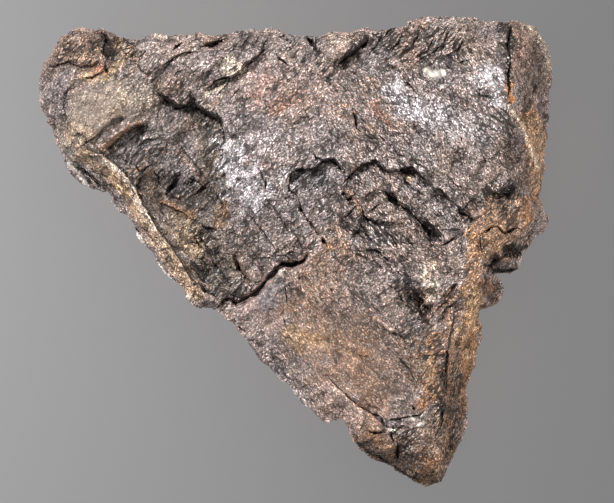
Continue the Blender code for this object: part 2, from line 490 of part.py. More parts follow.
def rim_loop(mesh):
    """Return the open border of the face as vertices in order, anticlockwise seen from above."""
    following = {}
    for edge in mesh.edges:
        if edge.is_boundary:
            loop = edge.link_loops[0]
            following[loop.vert] = loop.link_loop_next.vert
    start = min(following, key=lambda vert: vert.index)
    ordered = [start]
    while following[ordered[-1]] != start:
        ordered.append(following[ordered[-1]])
    return ordered


def smoothed(loop, rounds):
    """Return the closed loop of places after rounds of drawing each to its neighbours' mean."""
    for _ in range(rounds):
        mean = 0.5 * (np.roll(loop, 1, axis=0) + np.roll(loop, -1, axis=0))
        loop = loop + SMOOTHING_SHARE * (mean - loop)
    return loop


def two_sized_chips(place, size):
    """Return the relief of chips about the given size across, with smaller ones on them."""
    small = chip(place / (size * SMALL_CHIP_SHARE))
    return chip(place / size) + SMALL_CHIP_SHARE * small


def roughen_flanks(mesh):
    """Break the steep parts of the face into chips, by moving their points in and out."""
    mesh.normal_update()
    inner = [vert for vert in mesh.verts if not vert.is_boundary]
    moves = []
    for vert in inner:
        steepness = max(0.0, 1.0 - vert.normal.z / FLANK_NORMAL)
        relief = two_sized_chips(vert.co, FLANK_CHIP_SIZE)
        moves.append(FLANK_CHIPS * steepness * relief * vert.normal)
    for vert, move in zip(inner, moves):
        vert.co += move


def wall_ring(rim_places, share, shrink, rounds, bed, strength):
    """Return one ring of the walls, drawn in from the rim and let down towards the base."""
    ring = smoothed(rim_places, rounds)
    centre = np.array(WALL_CENTRE)
    for point, above in zip(ring, rim_places):
        outward = point[:2] - centre
        place = Vector((point[0], point[1], BED_SPACING * bed))
        inset = WALL_CHIPS * strength * (two_sized_chips(place, WALL_CHIP_SIZE) - WALL_SETBACK)
        limit = np.linalg.norm(above[:2] - centre) / np.linalg.norm(outward)
        point[:2] = centre + outward * min(shrink + inset / np.linalg.norm(outward), limit)
        swell = Vector((point[0] / BED_WAVELENGTH, point[1] / BED_WAVELENGTH, bed))
        wave = BED_WAVE * noise.noise(swell)
        point[2] *= 1.0 - min(share + wave * math.sin(math.pi * share), 1.0)
    return ring


def add_walls(mesh):
    """Close the stone: rings of wall from the rim down to the flat base."""
    upper = rim_loop(mesh)
    rim_places = np.array([vert.co for vert in upper])
    for ring in WALL_RINGS:
        lower = [mesh.verts.new(point) for point in wall_ring(rim_places, *ring)]
        for step, vert in enumerate(upper):
            after = (step + 1) % len(upper)
            mesh.faces.new((upper[after], vert, lower[step]))
            mesh.faces.new((upper[after], lower[step], lower[after]))
        upper = lower
    middle = mesh.verts.new((WALL_CENTRE[0], WALL_CENTRE[1], 0.0))
    for step, vert in enumerate(upper):
        mesh.faces.new((upper[(step + 1) % len(upper)], vert, middle))


def centre_plan(mesh):
    """Put the middle of the stone's plan at the origin, and turn millimetres into metres."""
    places = np.array([vert.co for vert in mesh.verts])
    middle = 0.5 * (places.min(axis=0) + places.max(axis=0))
    for vert in mesh.verts:
        vert.co = Vector((vert.co.x - middle[0], vert.co.y - middle[1], vert.co.z)) * MM


def stone_material():
    """Return the stone's plain material."""
    material = bpy.data.materials.new("graphite_rock")
    material.use_nodes = True
    shader = material.node_tree.nodes["Principled BSDF"]
    shader.inputs["Base Color"].default_value = STONE_COLOUR
    shader.inputs["Roughness"].default_value = STONE_ROUGHNESS
    shader.inputs["Metallic"].default_value = STONE_METALLIC
    return material


def build_stone():
    """Model the stone and put it in the scene."""
    rim = rim_points()
    surface = coarse_surface(rim)
    places, faces = face_mesh(rim, surface)
    heights = face_heights(places, surface)
    points = spread(np.column_stack([places, heights]))
    mesh = bmesh.new()
    verts = [mesh.verts.new(point) for point in points]
    mesh.verts.index_update()
    for face in faces:
        mesh.faces.new([verts[index] for index in face])
    roughen_flanks(mesh)
    add_walls(mesh)
    centre_plan(mesh)
    bmesh.ops.recalc_face_normals(mesh, faces=mesh.faces)
    data = bpy.data.meshes.new(NODE_NAME)
    mesh.to_mesh(data)
    mesh.free()
    data.materials.append(stone_material())
    stone = bpy.data.objects.new(NODE_NAME, data)
    bpy.context.scene.collection.objects.link(stone)


clear_scene()
build_stone()
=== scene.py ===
"""Dresses the graphite specimen: a broken slab of grey stone, freckled, rusty and cracked, on a pale floor.

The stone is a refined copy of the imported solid, which it replaces. It is smoothed, chipped, cracked and
painted here. Lengths in the tables are in millimetres. The tables give places on the plan, which is how
the upper face looks to the camera hanging straight above it.
"""

from __future__ import annotations

import logging
import math
from dataclasses import dataclass, field
from enum import Enum

import bpy
import numpy as np
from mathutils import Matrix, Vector, noise

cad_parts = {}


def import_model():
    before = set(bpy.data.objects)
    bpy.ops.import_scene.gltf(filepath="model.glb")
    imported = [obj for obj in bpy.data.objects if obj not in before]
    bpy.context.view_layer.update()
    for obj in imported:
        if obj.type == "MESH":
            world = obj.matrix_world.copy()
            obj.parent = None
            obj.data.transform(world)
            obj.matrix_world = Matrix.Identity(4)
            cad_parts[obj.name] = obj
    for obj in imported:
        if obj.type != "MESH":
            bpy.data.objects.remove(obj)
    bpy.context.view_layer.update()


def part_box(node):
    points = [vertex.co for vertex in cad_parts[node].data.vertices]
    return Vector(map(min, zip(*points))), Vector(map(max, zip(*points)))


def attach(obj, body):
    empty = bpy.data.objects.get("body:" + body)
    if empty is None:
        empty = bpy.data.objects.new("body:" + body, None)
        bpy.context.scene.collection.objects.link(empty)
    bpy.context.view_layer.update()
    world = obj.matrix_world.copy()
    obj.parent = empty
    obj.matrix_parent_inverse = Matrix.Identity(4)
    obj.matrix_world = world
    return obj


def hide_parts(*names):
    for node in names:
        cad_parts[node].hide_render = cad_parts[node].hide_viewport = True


LOG = logging.getLogger("graphite_specimen")

MM = 0.001
NODE = "graphite_specimen"
BODY = "root"
WALL_RISE = (0.25, -0.1)  # how far the ground faces up where the face ends and where the walls begin
FAR = (9.0, 9.0, 0.0, 0.0)  # away, beside, span and fall of a place with no break near it

Place = tuple[float, float]
Line = tuple[Place, ...]
Socket = bpy.types.NodeSocket
Value = Socket | float | tuple  # what the input of a node takes


class Tint(Enum):
    """The stone's own colours in linear light, with black also used as painted shade and silver as painted
    sheen.
    """

    GREY = (0.285, 0.219, 0.200)
    PINK = (0.375, 0.258, 0.225)
    STRAW = (0.410, 0.327, 0.255)
    CREAM = (0.720, 0.575, 0.460)
    TAN = (0.370, 0.229, 0.165)
    OCHRE = (0.340, 0.163, 0.068)
    RUST = (0.330, 0.107, 0.040)
    AMBER = (0.620, 0.254, 0.070)
    GOLD = (0.560, 0.361, 0.200)
    UMBER = (0.085, 0.047, 0.030)
    BROWN = (0.200, 0.105, 0.058)
    SAND = (0.480, 0.317, 0.205)
    OLIVE = (0.150, 0.112, 0.080)
    STEEL = (0.205, 0.175, 0.178)
    # silvery lustre and painted sheen, lighter where light reflects
    SHEEN_SILVER = (0.570, 0.507, 0.525)
    # black for dark streaks, and painted shade in cracks, nooks and under ledges
    SHADE_BLACK = (0.012, 0.009, 0.008)
    WHITE = (0.985, 0.885, 0.775)


@dataclass(frozen=True)
class Patch:
    """A ragged patch of one colour, spread along a line of the plan."""

    tint: Tint
    radius: float
    strength: float
    line: Line
    ragged: float = 0.6
    edge: tuple = (1.25, 0.45)
    margin: float = 2.2

    def cover(self, seen: np.ndarray, fray: np.ndarray) -> np.ndarray:
        """Tell how much of the patch's colour each place takes.

        Args:
            seen: plan places, one row each.
            fray: noise from -1 to 1 at the same places, which tears the patch's edge.

        Returns:
            Shares from 0 to the patch's strength.
        """
        share = np.zeros(len(seen))
        near = within(seen, self.line, self.margin * self.radius)
        away = distance_to_line(seen[near], self.line)[0] / self.radius + self.ragged * fray[near]
        share[near] = self.strength * smooth_step(*self.edge, away)
        return share


def shade_and_streaks(radius: float, strength: float, *line: Place, ragged: float = 1.0) -> Patch:
    """Make a place where dark streaks crowd together and the colour darkens: dark streaks, and painted shade
    in nooks and under ledges.
    """
    return Patch(Tint.SHADE_BLACK, radius, strength, line, ragged)


@dataclass(frozen=True)
class Break:
    """A break in the upper face: an open crack, with lower ground on the right of its line where it drops."""

    width: float
    depth: float
    line: Line
    drop: float = 0.0
    wander: float = 0.16
    end_share: float = 0.3
    reach: float = 1.5
    riser: float = 0.13
    end_length: float = 1.2
    end_round: float = 0.3
    width_stray: float = 0.6
    lip: float = 1.25
    margin: float = 3.0

    def cut(self, seen: np.ndarray, stray: np.ndarray) -> tuple[np.ndarray, ...]:
        """Work out the break at every place near it.

        Args:
            seen: plan places, one row each.
            stray: two columns of noise from -1 to 1, which bend the line and vary its width.

        Returns:
            Which places lie near; how far they lie from the line, more than 0 on the lower side; half the
            crack's width there; how much the ground falls there; and how far the place sinks.
        """
        near = np.flatnonzero(within(seen, self.line, self.margin * self.reach))
        moved = seen[near] + self.wander * stray[near]
        away, along, side = distance_to_line(moved, self.line)
        total = sum(math.dist(first, last) for first, last in zip(self.line, self.line[1:]))
        to_end = np.minimum(along, total - along)
        grown = smooth_step(0.0, min(self.end_length, total / 2), to_end)
        fade = self.end_share + (1.0 - self.end_share) * grown
        beyond = np.where(to_end > 0.0, 1.0, np.exp(-((away / self.end_round) ** 2)))
        half = 0.5 * self.width * fade * (1.0 + self.width_stray * stray[near, 1])
        opening = np.clip(self.lip - away / half, 0.0, 1.0) * (0.5 + 0.5 * fade)
        signed = away * side * math.copysign(1.0, self.drop)
        low = smooth_step(-self.riser, self.riser, signed) * np.exp(-np.clip(signed, 0.0, None) / self.reach)
        fall = abs(self.drop) * fade * beyond
        return near, signed, half, fall, self.depth * opening + fall * low


BREAKS = (
    # brink of the blocks and the cracks between them
    Break(0.38, 0.5, ((-1.4, 10.3), (-1.1, 12.0), (-0.1, 12.8), (1.8, 13.0), (3.0, 13.2), (4.1, 14.3),
                      (5.7, 14.5), (6.4, 13.8), (7.5, 12.4)), 0.9),
    Break(0.35, 0.6, ((-1.4, 10.3), (-0.9, 9.3), (-0.1, 9.0), (0.3, 8.2), (0.6, 6.8), (1.3, 5.6),
                      (2.2, 4.6), (2.7, 3.7), (3.5, 2.5), (4.6, 1.1))),
    Break(0.3, 0.4, ((2.4, 16.0), (3.05, 14.6), (4.1, 14.3), (2.7, 13.2))),
    Break(0.34, 0.4, ((5.0, 14.5), (5.7, 14.2), (6.9, 13.0), (7.5, 12.0))),
    Break(0.35, 0.5, ((7.3, 11.1), (8.8, 12.5), (9.9, 13.6), (11.1, 14.1), (12.3, 14.4), (13.2, 13.7),
                      (14.0, 12.9), (15.6, 13.0), (17.9, 13.2), (19.0, 12.4), (19.9, 11.4),
                      (20.9, 10.0)), 0.8),
    Break(0.34, 0.5, ((20.9, 10.0), (22.3, 9.8), (23.2, 8.8), (24.2, 7.7), (24.9, 7.0), (25.5, 6.2),
                     (26.7, 5.6), (27.5, 4.6)), 0.35),
    Break(0.3, 0.35, ((6.7, 10.2), (7.5, 8.9), (8.2, 7.7), (9.2, 6.9))),
    Break(0.26, 0.3, ((8.1, 9.1), (8.7, 8.0), (9.3, 7.5))),
    Break(0.3, 0.5, ((9.3, 7.3), (8.0, 5.95), (7.2, 5.3))),
    Break(0.34, 0.6, ((9.9, 7.5), (10.5, 5.8), (11.1, 5.2), (11.8, 5.25))),
    Break(0.3, 0.4, ((10.2, 8.4), (11.0, 9.2), (12.1, 9.8)), 0.5),
    Break(0.3, 0.4, ((11.1, 6.5), (12.0, 7.0), (13.0, 7.7)), 0.4),
    Break(0.36, 0.45, ((14.0, 9.2), (14.7, 8.4), (16.1, 7.3), (17.5, 6.3), (18.5, 5.4), (19.2, 4.7),
                     (20.25, 4.6), (21.1, 3.9), (21.6, 2.8), (22.3, 1.8)), 0.3),
    Break(0.34, 0.3, ((19.0, 5.4), (20.3, 3.6), (21.4, 2.0)), 0.5, end_share=0.6),
    Break(0.27, 0.2, ((9.9, 4.6), (11.2, 2.2), (12.6, 1.2)), 0.4),
    Break(0.3, 0.2, ((11.6, 5.0), (13.4, 4.6), (15.2, 4.9)), 0.5),
    Break(0.27, 0.2, ((13.6, 3.6), (14.9, 2.2), (15.9, 0.2)), -0.4),
    Break(0.27, 0.2, ((15.6, 3.4), (17.2, 2.0), (18.4, 0.2)), -0.4),
    Break(0.24, 0.2, ((12.4, 9.9), (14.9, 9.2)), 0.4),
    Break(0.24, 0.2, ((16.4, 11.6), (18.2, 9.9), (20.0, 8.8)), 0.4),
    Break(0.22, 0.2, ((23.0, 12.4), (24.8, 10.4), (26.4, 9.6)), 0.35),
    Break(0.22, 0.2, ((25.4, 6.2), (26.6, 7.8), (28.4, 8.8)), 0.35),
    Break(0.35, 0.5, ((22.5, 1.1), (23.4, 1.6), (24.9, 2.3))),
    Break(0.26, 0.3, ((20.9, 6.5), (21.8, 5.8), (22.85, 5.25))),
    Break(0.26, 0.3, ((21.8, 6.5), (22.9, 5.4))),
    Break(0.34, 0.4, ((10.2, 0.4), (11.4, 0.75), (12.6, 0.75), (13.3, -0.1), (14.0, -1.0),
                     (14.9, -1.3)), 0.5),
    Break(0.35, 0.4, ((8.4, 2.1), (9.2, 3.0), (10.1, 4.05)), 0.5),
    Break(0.35, 0.5, ((-5.8, 12.9), (-5.3, 11.7), (-4.75, 10.6), (-4.9, 9.9)), -0.4),
    # notch on the right
    Break(0.3, 0.2, ((16.9, -4.6), (18.6, -6.8))),
    Break(0.3, 0.2, ((18.0, -5.2), (19.2, -7.4))),
    Break(0.3, 0.2, ((17.4, -7.0), (20.0, -9.6))),
    Break(0.26, 0.2, ((19.6, -8.0), (21.2, -9.8))),
    # faint ledges of the middle plates
    Break(0.18, 0.15, ((-7.6, 6.2), (-5.4, 3.6), (-3.6, 1.0)), 0.25),
    Break(0.18, 0.15, ((-4.8, 8.4), (-2.6, 5.8), (-0.9, 2.6)), 0.25),
    Break(0.16, 0.15, ((-9.0, 2.4), (-7.0, 0.6), (-5.6, -1.8)), -0.25),
    Break(0.18, 0.15, ((-1.6, 4.4), (0.4, 1.9), (1.2, -0.6)), -0.25),
    # open face on the right
    Break(0.24, 0.4, ((8.7, 22.0), (9.1, 20.7), (9.2, 19.3), (10.2, 18.4)), -0.35),
    Break(0.19, 0.3, ((9.9, 21.0), (10.7, 20.1))),
    Break(0.2, 0.3, ((10.2, 18.6), (11.6, 17.7), (13.0, 17.5)), -0.3),
    Break(0.2, 0.3, ((13.7, 17.3), (14.6, 16.4), (15.3, 16.1)), -0.3),
    Break(0.2, 0.3, ((17.1, 14.5), (18.6, 13.9), (20.4, 12.6)), -0.25),
    Break(0.24, 0.4, ((12.8, 18.2), (13.7, 17.3))),
    Break(0.24, 0.4, ((15.1, 16.2), (15.9, 15.3), (17.1, 14.5))),
    Break(0.2, 0.4, ((16.5, 26.6), (17.9, 25.7), (19.2, 24.4))),
    Break(0.25, 0.4, ((28.6, 14.9), (29.5, 14.2))),
    Break(0.25, 0.4, ((25.3, 17.9), (25.7, 17.1))),
    Break(0.36, 0.5, ((33.0, 35.1), (32.7, 32.4), (33.1, 30.2), (32.8, 27.8), (33.0, 25.0), (32.6, 22.6))),
    Break(0.72, 0.5, ((33.1, 34.9), (32.9, 32.9)), end_share=0.7),
    # top edge
    Break(0.72, 0.8, ((-20.9, 24.65), (-19.9, 23.6), (-18.5, 22.7), (-16.7, 22.6)), 0.9),
    Break(0.6, 0.8, ((-16.0, 23.8), (-15.0, 22.4), (-13.6, 21.5), (-11.9, 20.8), (-11.3, 19.3)), 0.9),
    Break(0.31, 0.6, ((-14.3, 25.3), (-12.2, 26.7), (-10.4, 27.2), (-8.9, 28.1), (-7.0, 29.8),
                     (-4.9, 31.6)), 0.6),
    Break(1.1, 0.5, ((6.4, 29.5), (8.4, 31.0), (10.9, 33.0)), 0.6, end_share=0.7),
    Break(0.64, 0.8, ((1.5, 33.4), (2.3, 32.4), (3.0, 31.6), (4.0, 30.9))),
    Break(0.72, 0.8, ((-14.8, 31.9), (-12.6, 32.5), (-11.5, 33.0)), 0.5),
    Break(0.31, 0.5, ((-25.75, 30.55), (-24.9, 29.5), (-24.1, 28.3), (-23.0, 27.5))),
    Break(0.19, 0.3, ((-21.1, 28.5), (-20.2, 29.5), (-18.6, 30.7), (-16.7, 31.15), (-15.2, 31.1)), 0.5),
    Break(0.19, 0.3, ((-24.4, 30.2), (-23.0, 31.6))),
    Break(0.48, 0.6, ((-19.3, 31.2), (-17.9, 32.6))),
    Break(0.42, 0.4, ((-9.2, 27.9), (-7.6, 29.3), (-6.0, 30.6)), end_share=0.5),
    Break(0.19, 0.3, ((-19.1, 27.3), (-18.4, 28.1), (-17.2, 28.5)), 0.4),
    Break(0.64, 0.6, ((-29.7, 28.4), (-29.2, 28.0))),
    Break(0.56, 0.6, ((-29.9, 33.3), (-28.9, 32.3))),
    Break(0.31, 0.5, ((-3.2, 30.9), (-2.5, 29.9), (-1.3, 29.2))),
    Break(0.31, 0.4, ((-2.1, 33.9), (-2.0, 33.4))),
    Break(0.2, 0.2, ((-8.8, 31.6), (-7.2, 33.8)), 0.5),
    Break(0.16, 0.2, ((-7.4, 31.0), (-5.6, 33.9)), 0.4),
    Break(0.2, 0.2, ((-6.0, 30.9), (-4.2, 33.8)), 0.5),
    Break(0.16, 0.2, ((-10.6, 30.6), (-8.9, 32.8)), 0.4),
    Break(0.16, 0.2, ((-12.6, 24.2), (-10.4, 26.6)), 0.3),
    Break(0.16, 0.2, ((-10.8, 23.4), (-8.6, 25.9)), 0.3),
    Break(0.24, 0.3, ((-12.0, 20.7), (-11.3, 19.0), (-11.2, 17.2)), -0.6),
    # rough corner
    Break(0.4, 0.4, ((13.2, 33.4), (14.9, 35.0)), 0.35),
    Break(0.35, 0.3, ((13.6, 30.9), (15.6, 32.6), (16.6, 34.4)), 0.35),
    Break(0.45, 0.4, ((15.4, 30.2), (17.6, 31.6), (19.0, 33.9)), 0.35),
    Break(0.35, 0.3, ((18.0, 29.9), (20.2, 31.2), (21.2, 33.4)), 0.35),
    Break(0.4, 0.4, ((20.4, 30.6), (22.6, 32.0), (23.6, 34.6)), 0.35),
    Break(0.3, 0.3, ((22.8, 30.2), (24.9, 31.4), (26.0, 33.2)), 0.35),
    Break(0.3, 0.3, ((10.9, 30.4), (12.6, 32.6), (13.2, 34.2)), 0.35),
    Break(0.25, 0.3, ((24.4, 29.2), (26.6, 29.9)), 0.35),
    # shelf and knob
    Break(0.16, 0.2, ((-33.9, 16.2), (-31.0, 18.3), (-28.2, 20.8)), 0.4, reach=0.7),
    Break(0.22, 0.2, ((-29.9, 15.8), (-27.2, 18.0), (-23.4, 20.2)), 0.9, reach=1.2),
    Break(0.14, 0.1, ((-33.4, 26.2), (-35.6, 24.9), (-36.2, 23.1), (-35.6, 21.1), (-36.4, 19.6)), 0.3),
    Break(0.24, 0.3, ((-37.9, 28.8), (-35.4, 29.6), (-33.5, 28.9), (-30.8, 29.2)), 0.5),
    Break(0.3, 0.3, ((-33.4, 27.1), (-31.6, 27.3), (-30.2, 28.0)), 0.6),
    Break(0.6, 0.5, ((-30.3, 34.0), (-29.5, 32.8), (-30.0, 31.2), (-29.4, 30.2)), 0.5),
    # hollow on the left
    Break(0.14, 0.1, ((-33.3, 16.2), (-29.9, 15.2), (-27.2, 13.1), (-24.9, 9.8), (-23.8, 7.4), (-21.7, 3.9),
                      (-18.4, -0.7), (-15.9, -4.8), (-12.3, -7.4)), -0.9, reach=1.0),
    Break(0.16, 0.1, ((-18.2, 16.8), (-15.7, 13.7), (-13.7, 11.2)), 0.4),
    Break(0.16, 0.2, ((-21.9, 8.0), (-19.0, 6.9), (-16.3, 5.3)), 0.5),
    Break(0.2, 0.2, ((-22.6, 13.0), (-21.2, 11.6), (-21.6, 9.9)), 0.4),
    Break(0.2, 0.2, ((-20.1, 9.2), (-18.6, 8.4), (-17.2, 8.6)), 0.4),
    Break(0.2, 0.2, ((-24.9, 16.4), (-23.2, 17.6), (-21.6, 17.6)), 0.5),
    Break(0.2, 0.2, ((-12.4, 9.2), (-11.4, 7.4), (-11.6, 5.6)), 0.4),
    Break(0.2, 0.2, ((-15.2, 2.6), (-13.6, 0.9), (-12.4, -0.9)), 0.5),
    Break(0.2, 0.2, ((-12.9, -1.4), (-11.4, -3.2), (-10.2, -5.2)), 0.5),
    Break(0.26, 0.5, ((-33.4, 12.9), (-32.0, 11.8), (-31.1, 11.0), (-29.9, 9.9))),
    Break(0.25, 0.4, ((-26.9, 14.6), (-25.9, 13.9))),
    Break(0.26, 0.5, ((-25.0, 13.6), (-24.4, 12.4), (-22.6, 13.7))),
    Break(1.1, 0.6, ((-24.7, 10.6), (-24.3, 9.6))),
    Break(0.25, 0.4, ((-25.0, 4.2), (-24.3, 3.0))),
    Break(0.26, 0.5, ((-18.7, 11.7), (-19.0, 10.8), (-20.2, 9.1)), -0.5),
    Break(0.28, 0.5, ((-16.8, 11.7), (-15.2, 10.8)), 0.5),
    Break(0.26, 0.5, ((-12.7, 12.0), (-13.9, 10.6), (-15.0, 9.5)), -0.5),
    Break(0.25, 0.4, ((-11.0, 12.7), (-11.5, 12.0))),
    Break(0.28, 0.4, ((-21.3, 6.55), (-20.6, 5.8))),
    Break(0.48, 0.6, ((-14.5, 4.4), (-14.0, 3.9), (-12.4, 3.6)), 0.6),
    Break(0.28, 0.5, ((-15.9, 2.5), (-15.2, 1.3), (-14.3, 0.4)), 0.4),
    Break(0.25, 0.4, ((-14.0, -2.2), (-13.5, -3.4))),
    Break(0.25, 0.4, ((-16.1, -4.6), (-14.9, -5.1), (-14.0, -5.7))),
    # large crack and the plate below it
    Break(0.5, 0.5, ((-11.7, -8.3), (-10.7, -7.05), (-9.3, -7.8), (-8.0, -7.3)), wander=0.3),
    Break(0.45, 0.5, ((-3.9, -3.1), (-3.0, -2.3), (-2.2, -1.7), (-1.3, -1.9)), wander=0.3),
    Break(0.34, 0.4, ((-1.3, -2.0), (0.1, -1.7), (1.1, -1.15), (1.6, -0.3)), wander=0.3),
    Break(0.3, 0.3, ((-10.9, -5.9), (-9.6, -6.9), (-8.4, -6.9))),
    Break(0.26, 0.3, ((-7.3, -6.0), (-6.4, -4.6), (-5.2, -4.2))),
    Break(0.22, 0.2, ((-3.6, -0.6), (-1.9, -0.4), (-0.6, -1.1))),
    Break(0.22, 0.2, ((-6.5, -1.6), (-5.2, -3.2))),
    Break(0.5, 0.5, ((-9.2, -1.3), (-8.8, -2.5), (-7.9, -3.8), (-7.1, -4.7)), wander=0.3),
    Break(0.72, 0.6, ((-2.6, -2.0), (-1.9, -1.6))),
    Break(0.25, 0.4, ((-9.4, -11.1), (-8.0, -12.2))),
    Break(0.22, 0.3, ((-1.5, 8.7), (-1.9, 8.2))),
    Break(0.22, 0.3, ((-4.6, -0.6), (-3.7, -1.0))),
    Break(0.15, 0.3, ((-1.9, -4.45), (-1.7, -6.4), (-1.3, -8.4))),
    Break(0.22, 0.4, ((-2.2, -10.0), (-1.7, -11.0))),
    # right edge
    Break(0.21, 0.4, ((28.7, 2.95), (30.9, 4.2), (32.1, 2.95), (34.1, 3.9), (35.0, 3.5)), wander=0.05),
    Break(0.16, 0.3, ((28.4, 2.95), (28.55, -0.25))),
    Break(0.26, 0.4, ((22.3, -7.2), (23.4, -6.2), (24.6, -5.0))),
    Break(0.66, 0.6, ((23.3, -15.4), (23.1, -18.5), (22.7, -22.6), (22.4, -25.0)), end_share=0.6),
    Break(0.48, 0.5, ((24.1, -16.9), (24.6, -17.5))),
    Break(1.4, 0.6, ((32.9, 0.1), (34.0, -0.4)), end_share=0.8),
    Break(1.1, 0.6, ((29.3, -1.9), (31.4, -3.0), (33.9, -2.8)), end_share=0.6),
    Break(0.2, 0.2, ((20.2, -10.9), (21.6, -9.0), (23.8, -6.8)), 0.6),
    Break(0.18, 0.2, ((21.9, -10.6), (23.2, -8.6), (24.9, -7.4)), 0.5),
    Break(0.16, 0.2, ((24.6, -7.6), (24.2, -11.2), (23.3, -15.0)), -0.4),
    # foot and the ground above it
    Break(0.3, 0.3, ((14.0, -26.0), (16.5, -25.6), (19.3, -25.1)), 0.4),
    Break(0.3, 0.3, ((22.2, -23.0), (22.4, -26.0), (21.6, -28.6)), 0.4),
    Break(0.24, 0.2, ((8.0, -27.9), (10.4, -30.2), (14.8, -32.9), (19.2, -35.6)), 0.3),
    Break(0.16, 0.2, ((14.0, -4.6), (15.8, -6.2), (17.2, -8.4), (18.4, -9.4)), 0.4),
    Break(0.14, 0.1, ((12.4, -10.8), (14.6, -12.4), (16.8, -13.2)), 0.35),
    Break(0.14, 0.1, ((15.6, -16.0), (17.4, -17.9), (18.6, -20.2)), 0.35),
    Break(0.16, 0.3, ((5.0, -19.4), (6.7, -21.2), (8.3, -22.6), (9.7, -23.8), (11.0, -24.7)), wander=0.06),
    Break(0.22, 0.5, ((11.0, -24.7), (12.3, -25.2), (13.0, -25.7), (13.6, -26.7), (14.1, -27.1)),
          wander=0.06),
    Break(0.28, 0.4, ((11.1, -27.8), (12.5, -28.0), (13.7, -27.8))),
    Break(0.22, 0.4, ((14.9, -27.2), (16.6, -27.3), (18.4, -27.2))),
    Break(0.26, 0.5, ((14.9, -28.3), (15.6, -29.5), (15.8, -30.4))),
    Break(0.52, 0.6, ((15.8, -30.0), (15.6, -31.9))),
    Break(0.28, 0.5, ((17.9, -23.6), (18.4, -24.5))),
    Break(0.31, 0.3, ((5.2, -5.6), (5.5, -5.9))),
)

# lines and radii where the grain leans to the left
LEANING = (
    (((11.0, 22.0), (20.0, 21.0), (30.0, 26.0)), 7.0),
    (((14.0, 14.0), (24.0, 12.0), (28.0, 17.0)), 7.0),
    (((12.0, 4.0), (20.0, 2.0)), 6.0),
    (((4.0, -12.0), (10.0, -20.0)), 9.0),
    (((-32.0, 14.0), (-24.0, 4.0), (-17.0, -5.0)), 3.2),
)

# centre, radius and change of the regions that are more or less broken than the rest
BROKEN = (((20.0, 32.0), 6.0, 0.7), ((-19.0, 11.0), 8.0, 0.4), ((-13.0, -3.0), 5.0, 0.5),
          ((-33.0, 31.5), 4.0, 0.5), ((14.0, 6.0), 8.0, 0.4), ((20.0, -7.5), 3.5, 0.6),
          ((-31.0, 22.5), 5.0, -0.6), ((6.0, -14.0), 9.0, -0.45), ((-5.5, -7.5), 4.0, -0.5))

# the same for how strongly the grain speckles
LIVELY = (((14.0, 6.0), 11.0, 0.25), ((20.0, 24.0), 12.0, 0.2), ((-6.0, 13.0), 6.0, 0.1),
          ((-31.0, 22.5), 5.0, -0.45), ((6.0, -14.0), 9.0, -0.35), ((-5.5, -7.5), 4.5, -0.35),
          ((-20.0, 12.0), 7.0, -0.25), ((14.0, -24.0), 7.0, -0.25))

